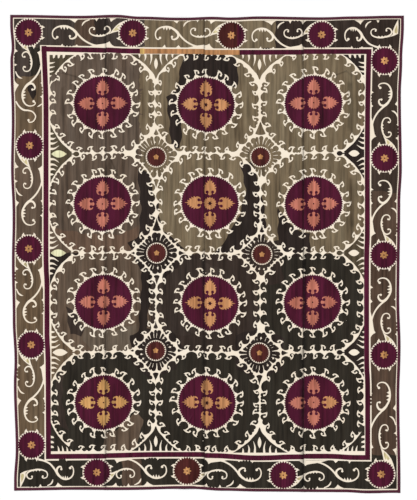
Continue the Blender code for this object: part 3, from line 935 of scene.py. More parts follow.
# where the dark silk changes colour: thread, outline, with later ones over earlier ones
dyeLots = (
    ("charcoal", ((0, 0), (420, 0), (420, 510), (0, 510))),
    ("taupe", ((0, 0), (140, 0), (140, 153), (0, 153))),
    ("olive", ((140, 0), (260, 0), (260, 153), (140, 153))),
    ("olive", ((258, 50), (420, 50), (420, 254), (258, 254))),
    ("greyBrown", ((0, 153), (141, 153), (141, 254), (0, 254))),
    ("olive", ((141, 153), (258, 153), (258, 254), (141, 254))),
    ("brown", ((0, 254), (150, 254), (150, 352), (0, 352))),
    ("charcoal", ((150, 254), (260, 254), (260, 352), (150, 352))),
    ("blackGreen", ((258, 254), (420, 254), (420, 352), (258, 352))),
    ("blackGreen", ((0, 352), (420, 352), (420, 510), (0, 510))),
    # inside the field
    ("greyBrown", (
        (120, 54), (128, 62), (136, 78), (139, 96), (136, 112), (130, 122), (133, 96), (128, 76), (117, 60),
    )),
    ("greyBrown", ((62, 88), (66, 84), (64, 102), (67, 120), (61, 114), (59, 100))),
    ("greyBrown", ((56, 190), (64, 176), (62, 204), (68, 226), (60, 222), (55, 206))),
    ("greyBrown", ((70, 152), (140, 152), (140, 164), (120, 170), (80, 168))),
    ("russetBrown", ((54, 228), (80, 233), (120, 235), (138, 226), (140, 254), (50, 254))),
    ("black", ((184, 54), (238, 54), (238, 84), (228, 90), (196, 84), (176, 98), (179, 74))),
    ("black", ((166, 98), (176, 90), (182, 130), (180, 149), (171, 148), (169, 122))),
    ("black", (
        (137, 170), (150, 172), (152, 190), (158, 204), (160, 222), (166, 240), (156, 256), (138, 244),
        (141, 206),
    )),
    ("black", (
        (240, 162), (252, 162), (262, 190), (266, 222), (264, 250), (215, 254), (226, 238), (240, 214),
        (246, 190),
    )),
    ("black", ((278, 206), (288, 222), (298, 230), (310, 234), (310, 256), (278, 256))),
    ("black", ((128, 244), (146, 232), (166, 232), (184, 250), (178, 268), (160, 280), (140, 272))),
    ("nearBlack", ((240, 240), (280, 240), (284, 284), (240, 284))),
    ("nearBlack", (
        (182, 254), (252, 254), (258, 300), (250, 352), (180, 352), (160, 338), (200, 334), (236, 320),
        (226, 270),
    )),
    ("nearBlack", ((66, 307), (76, 312), (84, 328), (82, 336), (70, 334))),
    ("ash", ((84, 326), (112, 332), (136, 324), (138, 342), (130, 350), (92, 350), (83, 340))),
    ("black", ((142, 262), (152, 262), (150, 300), (146, 330), (138, 336), (141, 290))),
    ("black", ((130, 336), (146, 328), (172, 332), (184, 350), (176, 370), (150, 378), (132, 366))),
    ("black", ((236, 334), (260, 328), (284, 338), (284, 368), (262, 378), (236, 370))),
    ("charcoal", ((56, 374), (64, 368), (62, 400), (68, 430), (58, 424))),
    ("brown", (
        (104, 434), (116, 430), (128, 420), (137, 412), (143, 420), (140, 436), (132, 451), (104, 451),
    )),
    # the border
    ("slate", ((0, 0), (75, 0), (75, 47), (0, 47))),
    ("umber", ((74, 0), (97, 0), (97, 30), (88, 47), (76, 47))),
    ("slate", ((97, 0), (145, 0), (145, 47), (88, 47), (97, 30))),
    ("black", ((95, 0), (108, 0), (108, 35), (95, 35))),
    ("olive", ((145, 0), (276, 0), (275, 48), (145, 48))),
    ("nearBlack", ((276, 0), (420, 0), (420, 48), (275, 48))),
    ("darkBrown", ((368, 48), (420, 48), (420, 196), (368, 190))),
    ("umber", ((368, 190), (420, 196), (420, 455), (368, 455))),
    ("slate", ((0, 47), (30, 47), (30, 78), (0, 80))),
    ("blackGreen", ((30, 47), (44, 47), (44, 72), (30, 80))),
    ("camel", ((0, 80), (45, 74), (45, 145), (0, 145))),
    ("black", ((28, 84), (31, 81), (35, 84), (36, 94), (34, 100), (30, 96), (27, 91))),
    ("brown", ((0, 145), (44, 145), (44, 245), (0, 245))),
    ("camel", ((0, 245), (46, 245), (46, 440), (0, 440))),
    ("umber", ((122, 459), (141, 459), (141, 500), (122, 500))),
)

# the same for the worked ground of the wedges and corners
wedgeLots = (
    ("green", ((0, 0), (420, 0), (420, 510), (0, 510))),
    ("olive", ((140, 50), (300, 50), (300, 90), (140, 90))),
    ("black", ((320, 50), (380, 50), (380, 200), (320, 200))),
    ("brown", ((45, 200), (100, 200), (100, 253), (45, 253))),
    ("black", ((45, 253), (100, 253), (100, 300), (45, 300))),
    ("camel", ((45, 300), (100, 300), (100, 400), (45, 400))),
    ("green", ((320, 200), (380, 200), (380, 300), (320, 300))),
    ("black", ((320, 300), (380, 300), (380, 460), (320, 460))),
    ("blackGreen", ((45, 400), (420, 400), (420, 460), (45, 460))),
)


def drawField():
    m = medallions
    for place in wedgePlaces:
        wedge(*place)
    for x, y, acrossWay, downWay, slitSide, _ in fieldCorners:
        fieldCorner(x, y, (acrossWay, downWay), slitSide)
    for x, y, seed in smallPlaces:
        smallRosettePetals(x, y, seed)
    for x, y, *rest in medallionPlaces:
        draw(roundedBody(x, y, m["bodyRadius"], rest[:4], m["ground"]), "bare")
    for x, y, _ in smallPlaces:
        for quarter in range(4):
            spineBud(x, y, quarter * math.pi / 2)
    for x, y, *rest in medallionPlaces:
        medallionBody(x, y, rest[:4], random.Random(rest[6]))
    for x, y, degrees, _, sideways in wedgePlaces:
        if sideways:
            wedgeKnob(x, y, degrees)
    for x, y, acrossWay, downWay, _, openSide in fieldCorners:
        cornerBridge(x, y, (acrossWay, downWay), openSide)
    for x, y, *rest in medallionPlaces:
        medallionRing(x, y, random.Random(rest[6] + 100))
        draw(toothedRound(x, y, m["discX"], m["discY"], m["discTeeth"], m["toothDepth"]), "plum")
        flower(x, y, rest[4], rest[5], starred=150 < x < 260)
    for x, y, _ in smallPlaces:
        smallRosetteHeart(x, y)


drawBorder()
drawField()
guardStripe()
print("drawn:", len(drawing), "shapes")


mesh = {
    "weld": 4e-6,
    "wide": 0.020,
    "sway": 0.25,
    "rimStep": 0.012,
    "seamRows": (0.0018, 0.0038, 0.0058, 0.0078, 0.0098, 0.0122),
    "seamStep": 0.0075,
    "shadeLineStep": 0.009,
    "creaseStep": 0.004,
    "longestSide": 4.0,
    # how many of the dye lots are whole blocks, whose edges aren't cut
    "wholeLots": 10,
}

# how far the drawing has slipped on each width since they were sewn up again, in squares of the chart
steps = {1: (0.0, 0.0), 2: (0.15, -0.45), 3: (-0.1, 0.4), 4: (0.1, -0.25)}


def panelSides(number, inside=0.0):
    # the four sides of a width, each as a function of the place along it
    rim, seam = cloth["edging"] + cloth["sewnGap"] + inside, cloth["sewnGap"] / 2 + inside

    def left(y):
        return leftEdge(y, rim) if number == 1 else cloth["seams"][number - 2] + seam + 0 * y

    def right(y):
        return rightEdge(y, rim) if number == 4 else cloth["seams"][number - 1] - seam + 0 * y

    return left, right, lambda x: bottomEdge(x, rim), lambda x: topEdge(x, rim)


def meeting(side, rim):
    x = float(side(0.0))
    for _ in range(8):
        y = float(rim(x))
        x = float(side(y))
    return x, y


def panelOutline(number):
    left, right, bottom, top = panelSides(number)
    corners = [meeting(left, bottom), meeting(right, bottom), meeting(right, top), meeting(left, top)]
    points = []
    for turn, (start, end) in enumerate(zip(corners, corners[1:] + corners[:1])):
        axis = turn % 2
        count = max(2, round(abs(end[axis] - start[axis]) / mesh["rimStep"]))
        for share in np.arange(count) / count:
            along = start[axis] + (end[axis] - start[axis]) * share
            edge = (bottom, right, top, left)[turn]
            points.append((along, float(edge(along))) if axis == 0 else (float(edge(along)), along))
    return np.array(points)


def rowsBeside(start, end, aways, step, past=0.0):
    # rows of points along a line, at some distances to its sides
    length = np.hypot(*(end - start))
    along = (end - start) / length
    across = np.array((-along[1], along[0]))
    lengths = np.arange(-past, length + past, step)[:, None]
    return [start + lengths * along + away * across for away in aways]


def gridPoints(number):
    # points between the drawn lines, closer together where the cloth bends
    left, right, bottom, top = panelSides(number, 0.003)
    low, high = min(left(0), left(-0.9)) - 0.03, max(right(0), right(-0.9)) + 0.03
    x, y = np.meshgrid(np.arange(low, high, mesh["wide"]), np.arange(-1.12, 1.12, mesh["wide"]))
    x = x + mesh["sway"] * mesh["wide"] * np.sin(211 * y)
    found = [np.column_stack([x.ravel(), y.ravel()])]
    # rows along the lines of painted shade, so that the darkening follows them
    for x0, y0, x1, y1, half, _ in paintedShadeLines:
        aways = np.linspace(-1, 1, 5) * half * chart["square"]
        found += rowsBeside(*toMetres([(x0, y0), (x1, y1)]), aways, mesh["shadeLineStep"])
    rows = np.arange(-1.09, 1.09, mesh["seamStep"])
    for seam in cloth["seams"]:
        for away in mesh["seamRows"]:
            for sign in (-1, 1):
                wobble = 0.0004 * np.sin(97 * rows + away * 900)
                found.append(np.column_stack([seam + sign * away + wobble, rows + away * 0.3]))
    for x0, y0, x1, y1, half, _ in creases:
        aways = np.linspace(-half, half, 7)
        found += rowsBeside(*toMetres([(x0, y0), (x1, y1)]), aways, mesh["creaseStep"], half)
    points = np.vstack(found)
    x, y = points.T
    inside = (x > left(y)) & (x < right(y)) & (y > bottom(x)) & (y < top(x))
    return points[inside]


def covered(points, ring):
    # which of the points lie inside a ring that may cross itself
    px, py = points[:, :1], points[:, 1:]
    (x0, y0), (x1, y1) = ring.T, np.roll(ring, -1, axis=0).T
    side = (x1 - x0) * (py - y0) - (px - x0) * (y1 - y0)
    up = (y0 <= py) & (y1 > py) & (side > 0)
    down = (y0 > py) & (y1 <= py) & (side < 0)
    return (up.sum(axis=1) - down.sum(axis=1)) != 0


def lastCover(centres, rings):
    # the number of the last ring that covers each centre
    order = np.argsort(centres[:, 0])
    ordered = centres[order]
    found = np.zeros(len(centres), int)
    for number, ring in enumerate(rings):
        low, high = ring.min(axis=0), ring.max(axis=0)
        first, last = np.searchsorted(ordered[:, 0], (low[0], high[0]))
        if first == last:
            continue
        near = np.arange(first, last)
        near = near[(ordered[near, 1] >= low[1]) & (ordered[near, 1] <= high[1])]
        if len(near):
            found[order[near[covered(ordered[near], ring)]]] = number + 1
    return found


def stepped(ring):
    # the same ring with no long sides, so that it follows the cloth's rise and fall
    found = []
    for start, end in zip(ring, np.roll(ring, -1, axis=0)):
        count = max(1, math.ceil(np.hypot(*(end - start)) / mesh["longestSide"]))
        found.extend(start + (end - start) * share for share in np.arange(count) / count)
    return np.array(found)


def handDrawn(ring):
    # a dye lot's edge, which is never quite straight
    x, y = stepped(np.array(ring, float)).T
    return np.column_stack([x + 0.8 * np.sin(y / 3.1 + x / 9), y + 0.8 * np.sin(x / 2.7 - y / 8)])


def cutUp(number):
    # one width of cloth as triangles that no drawn line crosses, and the thread of each
    outline = panelOutline(number)
    shift = np.array(steps[number])
    low, high = outline.min(axis=0), outline.max(axis=0)
    rings, names = [], []
    for ring, thread in drawing:
        ring = toMetres(stepped(ring) + shift)
        if (ring.max(axis=0) > low).all() and (ring.min(axis=0) < high).all():
            rings.append(ring)
            names.append(thread)
    lots = [toMetres(handDrawn(ring) + shift) for _, ring in dyeLots]
    wedges = [toMetres(np.array(ring, float) + shift) for _, ring in wedgeLots]
    points, edges = [], []
    for ring in [outline, *rings, *lots[mesh["wholeLots"]:]]:
        first = len(points)
        points.extend(ring)
        edges.extend((first + i, first + (i + 1) % len(ring)) for i in range(len(ring)))
    points.extend(gridPoints(number))
    result = delaunay_2d_cdt([Vector(point) for point in points], edges, [], 0, mesh["weld"], False)
    corners, triangles = np.array([tuple(v) for v in result[0]]), np.array(result[2])
    centres = corners[triangles].mean(axis=1)
    a, b, c = (corners[triangles[:, i]] for i in range(3))
    area = ((b - a)[:, 0] * (c - a)[:, 1] - (b - a)[:, 1] * (c - a)[:, 0]) / 2
    keep = covered(centres, outline) & (np.abs(area) > 1e-11)
    triangles, centres, area = triangles[keep], centres[keep], area[keep]
    triangles[area < 0] = triangles[area < 0][:, ::-1]
    cover = lastCover(centres, rings)
    names = np.array(["bare", *names])[cover]
    lot = np.array(["dark", *(name for name, _ in dyeLots)])[lastCover(centres, lots)]
    wedgeLot = np.array(["dark", *(name for name, _ in wedgeLots)])[lastCover(centres, wedges)]
    names = np.where(names == "dark", lot, names)
    names = np.where(names == "wedge", wedgeLot, names)
    print("width", number, "cut into", len(triangles), "triangles")
    return corners, triangles, names


# lines of painted shade beside the seams and the folds and along the creases, on the chart: from x, y, to x,
# y, half width, share
paintedShadeLines = (
    (304.8, 252.0, 304.6, 350.0, 3.8, 0.70), (302.0, 350.0, 302.4, 490.0, 4.2, 0.70),
    (303.4, 250.0, 303.4, 490.0, 1.7, 0.68),
    (302.8, 15.0, 303.0, 250.0, 2.8, 0.60), (296.6, 256.0, 297.4, 300.0, 1.5, 0.30),
    (105.6, 15.0, 106.0, 250.0, 2.0, 0.52), (105.2, 250.0, 105.6, 490.0, 2.8, 0.62),
    (204.0, 15.0, 204.6, 250.0, 2.0, 0.50), (203.6, 250.0, 204.0, 490.0, 3.0, 0.60),
    (101.0, 136.0, 102.0, 176.0, 1.3, 0.30), (96.0, 330.0, 97.0, 352.0, 1.3, 0.26),
    (276.0, 160.0, 276.4, 252.0, 1.6, 0.36), (270.0, 186.0, 271.0, 236.0, 1.8, 0.22),
    (350.0, 84.0, 349.0, 128.0, 4.2, 0.44), (351.0, 180.0, 352.0, 226.0, 4.0, 0.40),
    (60.0, 72.0, 84.0, 79.0, 1.4, 0.38), (330.0, 77.0, 346.0, 71.0, 1.4, 0.36),
    (346.0, 71.0, 352.0, 76.0, 1.2, 0.30),
    (110.0, 158.0, 118.0, 177.0, 1.3, 0.38), (293.0, 160.0, 289.0, 172.0, 1.3, 0.34),
    (276.0, 200.0, 288.0, 190.0, 1.2, 0.32), (184.0, 330.0, 196.0, 336.0, 1.5, 0.26),
    (139.0, 258.0, 140.0, 346.0, 1.8, 0.30), (148.0, 268.0, 150.0, 300.0, 1.4, 0.26),
)


def shadeAt(x, y):
    # painted shade: how much darker each place is coloured beside the seams and folds and along the creases
    places = toChart(x, y)
    shade = np.ones(len(places))
    for x0, y0, x1, y1, half, share in paintedShadeLines:
        depth = ridge(places[:, 0], places[:, 1], (x0, y0), (x1, y1), half, share)
        uneven = 0.82 + 0.18 * np.sin(places[:, 1] / 4.3 + x0) * np.sin(places[:, 1] / 11.0 + x1)
        shade = shade * (1 - depth * uneven)
    return shade


light = {"level": 1.04, "gloss": 0.006}


def linear(colour):
    # a thread's colour as light, less what its gloss adds
    shares = np.array(colour) / 255
    shares = np.where(shares <= 0.04045, shares / 12.92, ((shares + 0.055) / 1.055) ** 2.4)
    return np.maximum((shares - light["gloss"]) / light["level"], 0.002)


def newObject(name, shape, material):
    found = bpy.data.meshes.new(name)
    shape.to_mesh(found)
    shape.free()
    found.materials.append(material)
    found.shade_smooth()
    found.set_sharp_from_angle(angle=math.radians(38))
    piece = bpy.data.objects.new(name, found)
    bpy.context.scene.collection.objects.link(piece)
    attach(piece, "root")
    return piece


def doubled(shape, depth, spread=None):
    # gives an open sheet its thickness and closes it, moving the new underside's rim outwards
    faces = shape.faces[:]
    made = bmesh.ops.extrude_face_region(shape, geom=faces, use_keep_orig=True)
    lower = [item for item in made["geom"] if isinstance(item, bmesh.types.BMVert)]
    for vertex in lower:
        vertex.co.z -= depth
        if spread:
            dx, dy = spread.get((round(vertex.co.x, 6), round(vertex.co.y, 6)), (0.0, 0.0))
            vertex.co.x += dx
            vertex.co.y += dy
    bmesh.ops.recalc_face_normals(shape, faces=shape.faces)


def rimSpread(corners, triangles, out):
    # for each point on the rim of a worked area, a small step away from it
    sides = np.concatenate([triangles[:, [0, 1]], triangles[:, [1, 2]], triangles[:, [2, 0]]])
    keys = np.sort(sides, axis=1)
    _, first, count = np.unique(keys, axis=0, return_index=True, return_counts=True)
    rim = sides[first[count == 1]]
    way = corners[rim[:, 1]] - corners[rim[:, 0]]
    way /= np.maximum(np.hypot(*way.T), 1e-9)[:, None]
    outwards = np.column_stack([way[:, 1], -way[:, 0]])
    total = np.zeros_like(corners)
    np.add.at(total, rim[:, 0], outwards)
    np.add.at(total, rim[:, 1], outwards)
    used = np.unique(rim)
    length = np.maximum(np.hypot(*total[used].T), 0.6)
    moved = total[used] / length[:, None] * out
    return {(round(x, 6), round(y, 6)): tuple(step) for (x, y), step in zip(corners[used], moved)}


def stitching(number, corners, triangles, names, material):
    # the laid silk on one width, standing above the bare cotton
    worked = names != "bare"
    triangles, names = triangles[worked], names[worked]
    used, index = np.unique(triangles, return_inverse=True)
    corners, triangles = corners[used], index.reshape(triangles.shape)
    height = lieOf(corners[:, 0], corners[:, 1]) + cloth["ground"] + cloth["stitch"]
    shape = bmesh.new()
    colour = shape.loops.layers.float_color.new("thread")
    points = [shape.verts.new((x, y, z)) for (x, y), z in zip(corners, height)]
    tones = {name: linear(value) for name, value in threads.items()}
    # each thread's colour is darkened by the painted shade beside the seams, folds and creases
    shade = shadeAt(*corners.T)
    for triangle, name in zip(triangles, names):
        face = shape.faces.new([points[i] for i in triangle])
        for loop, corner in zip(face.loops, triangle):
            loop[colour] = (*(tones[name] * shade[corner]), 1.0)
    doubled(shape, cloth["stitch"] + cloth["sunkStitch"], rimSpread(corners, triangles, 0.0003))
    return newObject(f"stitching_{number}", shape, material)


def groundSheet(number, material):
    outline = panelOutline(number)
    points = list(outline) + list(gridPoints(number))
    edges = [(i, (i + 1) % len(outline)) for i in range(len(outline))]
    result = delaunay_2d_cdt([Vector(point) for point in points], edges, [], 1, mesh["weld"], False)
    corners = np.array([tuple(v) for v in result[0]])
    height = lieOf(corners[:, 0], corners[:, 1]) + cloth["ground"]
    shape = bmesh.new()
    points = [shape.verts.new((x, y, z)) for (x, y), z in zip(corners, height)]
    colour = shape.loops.layers.float_color.new("thread")
    # painted shade on the bare cotton too, milder than on the silk and a little warm
    shade = shadeAt(*corners.T) ** 0.6
    for triangle in result[2]:
        face = shape.faces.new([points[i] for i in triangle])
        for loop, corner in zip(face.loops, triangle):
            loop[colour] = (shade[corner], shade[corner] * 0.99, shade[corner] * 0.98, 1.0)
    doubled(shape, cloth["ground"])
    size = corners.max(axis=0) - corners.min(axis=0)
    piece = newObject(f"ground_{number}", shape, material)
    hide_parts(f"panel_{number}")
    return piece, (float(size[0]), float(size[1]))


edging = {
    "step": 0.006,
    # the section of a strip: inwards from the rim, height
    "profile": (
        (0.0, 0.0004), (0.0002, 0.0013), (0.0012, 0.0020), (0.0035, 0.0022), (0.0070, 0.0021),
        (0.0105, 0.0022), (0.0124, 0.0019), (0.0130, 0.0011), (0.0130, 0.0001), (0.0066, 0.0), (0.0006, 0.0),
    ),
}


def edgingStrip(name, line, inwards, material):
    # a folded strip: its section carried along the rim
    shape = bmesh.new()
    ring = None
    for x, y in line:
        section = []
        for inside, high in edging["profile"]:
            px, py = x + inwards[0] * inside, y + inwards[1] * inside
            section.append(Vector((px, py, high + float(lieOf(px, py)))))
        if ring is None:
            ring = [shape.verts.new(point) for point in section]
            edges = [shape.edges.new((a, b)) for a, b in zip(ring, ring[1:] + ring[:1])]
            shape.faces.new(ring)
            continue
        made = bmesh.ops.extrude_edge_only(shape, edges=edges)["geom"]
        edges = [item for item in made if isinstance(item, bmesh.types.BMEdge)]
        fresh = [item for item in made if isinstance(item, bmesh.types.BMVert)]
        partner = {}
        for vertex in fresh:
            for edge in vertex.link_edges:
                other = edge.other_vert(vertex)
                if other in ring:
                    partner[other] = vertex
        ring = [partner[old] for old in ring]
        for vertex, point in zip(ring, section):
            vertex.co = point
    shape.faces.new(ring)
    bmesh.ops.recalc_face_normals(shape, faces=shape.faces)
    return newObject(name, shape, material)


def makeEdging(material):
    beside = cloth["edging"] + cloth["sewnGap"]
    pieces = {}
    for side, edge, inwards in (("left", leftEdge, (1, 0)), ("right", rightEdge, (-1, 0))):
        near = float(edge(0.0)) * 0.99
        low, high = float(bottomEdge(near)), float(topEdge(near))
        along = np.linspace(low, high, round((high - low) / edging["step"]))
        pieces[side] = edgingStrip(f"edging_strip_{side}", zip(edge(along), along), inwards, material)
    for side, edge, inwards in (("top", topEdge, (0, -1)), ("bottom", bottomEdge, (0, 1))):
        near = float(edge(0.0))
        low, high = float(leftEdge(near, beside)), float(rightEdge(near, beside))
        along = np.linspace(low, high, round((high - low) / edging["step"]))
        pieces[side] = edgingStrip(f"edging_strip_{side}", zip(along, edge(along)), inwards, material)
    for side, piece in pieces.items():
        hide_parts(f"edging_{side}")
    return pieces


sewing = {
    "pitch": 0.0048,
    "size": (0.0036, 0.00055, 0.000605),
    "lean": 0.35,
    "hemPitch": 0.0085,
    "hemSize": (0.0019, 0.00036, 0.0004),
    "hemLean": 0.5,
    "hemHigh": 0.0018,
}


def addStitch(shape, place, turn, size):
    matrix = Matrix.Translation(place) @ Matrix.Rotation(turn, 4, "Z") @ Matrix.Diagonal((*size, 1.0))
    bmesh.ops.create_icosphere(shape, subdivisions=1, radius=1.0, matrix=matrix)


def seamStitches(number, seam, material):
    # small slanting stitches over a seam
    pick = random.Random(70 + number)
    shape = bmesh.new()
    low, high = float(bottomEdge(seam, 0.016)), float(topEdge(seam, 0.016))
    for y in np.arange(low, high, sewing["pitch"]):
        y = float(y) + pick.uniform(-0.0008, 0.0008)
        z = float(lieOf(seam, y)) + cloth["ground"] + 0.0007
        addStitch(shape, (seam, y, z), sewing["lean"] + pick.uniform(-0.15, 0.15), sewing["size"])
    return newObject(f"seam_stitches_{number}", shape, material)


def hemStitches(side, material):
    # the stitches that hold the edging to the cloth
    pick = random.Random(90 + len(side))
    shape = bmesh.new()
    inside = cloth["edging"] + 0.0002
    edge = {"left": leftEdge, "right": rightEdge, "top": topEdge, "bottom": bottomEdge}[side]
    upright = side in ("left", "right")
    reach = 1.06 if upright else 0.86
    lean = sewing["hemLean"] + (0 if upright else math.pi / 2)
    for along in np.arange(-reach, reach, sewing["hemPitch"]):
        along = float(along) + pick.uniform(-0.001, 0.001)
        across = float(edge(along, inside))
        x, y = (across, along) if upright else (along, across)
        z = float(lieOf(x, y)) + sewing["hemHigh"]
        addStitch(shape, (x, y, z), lean + pick.uniform(-0.15, 0.15), sewing["hemSize"])
    return newObject(f"hem_stitches_{side}", shape, material)



class Wire:
    # one output of a node, so that shader sums read as plain sums

    def __init__(self, bench, output):
        self.bench = bench
        self.output = output

    def sum(self, operation, first, second):
        return self.bench.node("ShaderNodeMath", {"operation": operation}, {0: first, 1: second})

    def __add__(self, other):
        return self.sum("ADD", self, other)

    def __radd__(self, other):
        return self.sum("ADD", other, self)

    def __sub__(self, other):
        return self.sum("SUBTRACT", self, other)

    def __rsub__(self, other):
        return self.sum("SUBTRACT", other, self)

    def __mul__(self, other):
        return self.sum("MULTIPLY", self, other)

    def __rmul__(self, other):
        return self.sum("MULTIPLY", other, self)


class Bench:
    # one material being made

    def __init__(self, name):
        self.material = bpy.data.materials.new(name)
        self.material.use_nodes = True
        self.nodes = self.material.node_tree.nodes
        self.links = self.material.node_tree.links
        self.shader = self.nodes["Principled BSDF"]

    def node(self, kind, settings=None, sockets=None, output=0):
        made = self.nodes.new(kind)
        for name, value in (settings or {}).items():
            if name == "stops":
                for number, (place, colour) in enumerate(value):
                    elements = made.color_ramp.elements
                    element = elements[number] if number < 2 else elements.new(place)
                    element.position = place
                    element.color = colour
            else:
                setattr(made, name, value)
        self.fill(made, sockets or {})
        return Wire(self, made.outputs[output])

    def fill(self, made, sockets):
        for name, value in sockets.items():
            if isinstance(value, Wire):
                self.links.new(value.output, made.inputs[name])
            else:
                made.inputs[name].default_value = value

    def finish(self, **sockets):
        self.fill(self.shader, {name.replace("_", " "): value for name, value in sockets.items()})
        return self.material

    def place(self, scale):
        # Object coordinates, stretched differently each way
        here = self.node("ShaderNodeTexCoord", output=3)
        return self.node("ShaderNodeMapping", {"vector_type": "POINT"}, {"Vector": here, "Scale": scale})

    def noise(self, scale, detail=2.0, rough=0.5):
        return self.node(
            "ShaderNodeTexNoise", {"noise_dimensions": "3D"},
            {"Vector": self.place(scale), "Scale": 1.0, "Detail": detail, "Roughness": rough},
        )

    def wave(self, scale, axis, distortion=0.0):
        return self.node(
            "ShaderNodeTexWave", {"wave_type": "BANDS", "bands_direction": axis, "wave_profile": "SIN"},
            {"Vector": self.place(scale), "Scale": 1.0, "Distortion": distortion, "Detail": 1.0}, output=1,
        )

    def painted(self):
        # the colours that are stored with a mesh
        return self.node("ShaderNodeAttribute", {"attribute_name": "thread", "attribute_type": "GEOMETRY"})

    def bump(self, height, strength, distance):
        return self.node("ShaderNodeBump", {}, {"Height": height, "Strength": strength, "Distance": distance})

    def tinted(self, share, first, second):
        return self.node(
            "ShaderNodeMix", {"data_type": "RGBA", "blend_type": "MIX"},
            {0: share, 6: (*first, 1.0), 7: (*second, 1.0)}, output=2,
        )

    def times(self, colour, other):
        return self.node("ShaderNodeVectorMath", {"operation": "MULTIPLY"}, {0: colour, 1: other})

    def scaled(self, colour, share):
        return self.node("ShaderNodeVectorMath", {"operation": "SCALE"}, {0: colour, "Scale": share})


def laidSilk():
    # long loose threads laid down the cloth and tied by small slanting stitches
    b = Bench("laid silk")
    thread = b.painted()
    streak = b.noise((82.0, 4.0, 1.0), 3.0, 0.62)
    hank = b.noise((30.0, 2.2, 1.0), 2.0)
    wear = b.noise((12.0, 9.0, 1.0), 3.0)
    fine = b.wave((142.0, 1.0, 1.0), "X", 0.6)
    ties = b.wave((60.0, 36.0, 1.0), "DIAGONAL", 1.5)
    level = -0.85 + 1.90 * streak + 1.15 * hank + 0.60 * wear - 0.06 * (1 - fine)
    tint = b.tinted(hank, (1.07, 0.98, 0.87), (0.89, 1.02, 1.10))
    high = 0.6 * fine + 0.3 * ties + 0.5 * streak
    bump = b.bump(high, 0.35, 0.0005)
    return b.finish(
        Base_Color=b.scaled(b.times(thread, tint), level), Roughness=0.52 + 0.16 * streak, Normal=bump,
        Specular_IOR_Level=0.08,
    )


def creamCotton():
    # narrow hand-loomed cotton: plain weave with thick and thin threads, mellowed unevenly
    b = Bench("cream cotton")
    warp = b.wave((170.0, 1.0, 1.0), "X", 0.8)
    weft = b.wave((1.0, 150.0, 1.0), "Y", 0.8)
    slub = b.noise((30.0, 260.0, 1.0), 2.0)
    mellow = b.noise((6.0, 5.0, 1.0), 3.0)
    base = b.tinted(mellow, linear((255, 247, 231)), linear((243, 225, 200)))
    # the stored colour read here is painted shade beside the seams, folds and creases
    worn = b.painted()
    level = 0.90 + 0.10 * slub + 0.05 * warp * weft
    high = 0.5 * warp + 0.5 * weft + 0.6 * slub
    bump = b.bump(high, 0.30, 0.0004)
    return b.finish(
        Base_Color=b.scaled(b.times(base, worn), level), Roughness=0.86 + 0.1 * slub, Normal=bump,
        Specular_IOR_Level=0.2,
    )


def plumBraid():
    # the edging: a narrow woven silk strip
    b = Bench("plum edging")
    along = b.noise((60.0, 60.0, 1.0), 3.0)
    faded = b.noise((5.0, 5.0, 1.0), 2.0)
    twill = b.wave((90.0, 90.0, 1.0), "DIAGONAL", 0.4)
    base = b.tinted(faded, linear((88, 30, 52)), linear((62, 24, 38)))
    level = 0.80 + 0.36 * along - 0.08 * (1 - twill)
    bump = b.bump(twill + 0.5 * along, 0.3, 0.0004)
    return b.finish(
        Base_Color=b.scaled(base, level), Roughness=0.6 + 0.15 * along, Normal=bump, Specular_IOR_Level=0.3
    )


def sewingThread(name, colour):
    b = Bench(name)
    twist = b.wave((420.0, 420.0, 1.0), "DIAGONAL", 0.2)
    dye = b.noise((40.0, 40.0, 1.0), 2.0)
    base = b.tinted(dye, linear(colour), linear(tuple(share * 0.8 for share in colour)))
    bump = b.bump(twist, 0.4, 0.0002)
    return b.finish(
        Base_Color=b.scaled(base, 0.9 + 0.2 * twist), Roughness=0.7, Normal=bump, Specular_IOR_Level=0.3
    )


def paleFloor():
    b = Bench("pale floor")
    cloud = b.noise((3.0, 3.0, 1.0), 2.0)
    base = b.tinted(cloud, (0.96, 0.96, 0.96), (0.94, 0.94, 0.94))
    return b.finish(Base_Color=base, Roughness=0.9, Specular_IOR_Level=0.1)


silk, cotton, braid = laidSilk(), creamCotton(), plumBraid()
seamThread = sewingThread("seam thread", (52, 38, 34))
hemThread = sewingThread("hem thread", (70, 26, 42))
print("materials made")


strips = makeEdging(braid)
hems = {side: hemStitches(side, hemThread) for side in strips}
seams = [seamStitches(number, seam, seamThread) for number, seam in enumerate(cloth["seams"], 1)]
print("edging and sewing made")

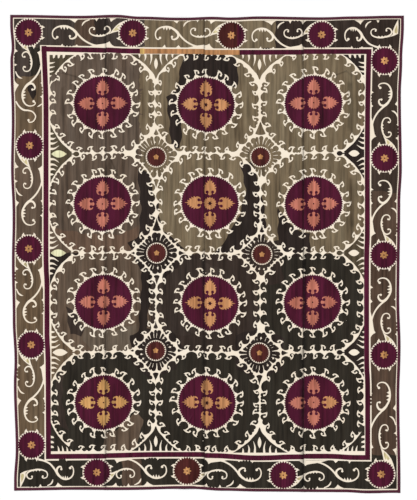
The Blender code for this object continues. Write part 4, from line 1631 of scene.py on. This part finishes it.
for number in (1, 2, 3, 4):
    corners, triangles, names = cutUp(number)
    silkPiece = stitching(number, corners, triangles, names, silk)
    sheet, flatSize = groundSheet(number, cotton)
    beside = [silkPiece]
    if number < 4:
        beside.append(seams[number - 1])
    if number == 1:
        beside += [strips["left"], hems["left"]]
    if number == 2:
        beside += [strips["top"], hems["top"], strips["bottom"], hems["bottom"]]
    if number == 4:
        beside += [strips["right"], hems["right"]]
    print("width", number, "made:", len(silkPiece.data.polygons), "faces of stitching,",
          len(sheet.data.polygons), "of cotton")


studio = {
    "floor": 40.0,
    "world": 0.48,
    "sun": 2.55,
    "sunFrom": (-0.72, 0.60, 1.0),
    "sunSoftness": 0.22,
    "cameraHeight": 9.0,
    "sensor": 36.0,
    "imageWidth": 417,
    "imageHeight": 500,
}

shape = bmesh.new()
bmesh.ops.create_grid(shape, x_segments=8, y_segments=8, size=studio["floor"] / 2)
floorMesh = bpy.data.meshes.new("floor")
shape.to_mesh(floorMesh)
shape.free()
floorMesh.materials.append(paleFloor())
floor = bpy.data.objects.new("floor", floorMesh)
bpy.context.scene.collection.objects.link(floor)

scene = bpy.context.scene
scene.view_settings.view_transform = "Standard"
scene.view_settings.look = "None"
scene.world = bpy.data.worlds.new("studio")
scene.world.use_nodes = True
backdrop = scene.world.node_tree.nodes["Background"]
backdrop.inputs["Color"].default_value = (1.0, 1.0, 1.0, 1.0)
backdrop.inputs["Strength"].default_value = studio["world"]

sun = bpy.data.objects.new("sun", bpy.data.lights.new("sun", "SUN"))
sun.data.energy = studio["sun"]
sun.data.angle = studio["sunSoftness"]
sun.rotation_euler = Vector(studio["sunFrom"]).to_track_quat("Z", "Y").to_euler()
scene.collection.objects.link(sun)

camera = bpy.data.objects.new("camera", bpy.data.cameras.new("camera"))
camera.location = (
    (studio["imageWidth"] / 2 - chart["middleX"]) * chart["square"],
    (chart["middleY"] - studio["imageHeight"] / 2) * chart["square"],
    studio["cameraHeight"],
)
camera.data.sensor_fit = "VERTICAL"
camera.data.sensor_height = studio["sensor"]
camera.data.lens = studio["sensor"] * studio["cameraHeight"] / (studio["imageHeight"] * chart["square"])
camera.data.clip_end = 60.0
scene.collection.objects.link(camera)
scene.camera = camera
print("floor, light and camera set")
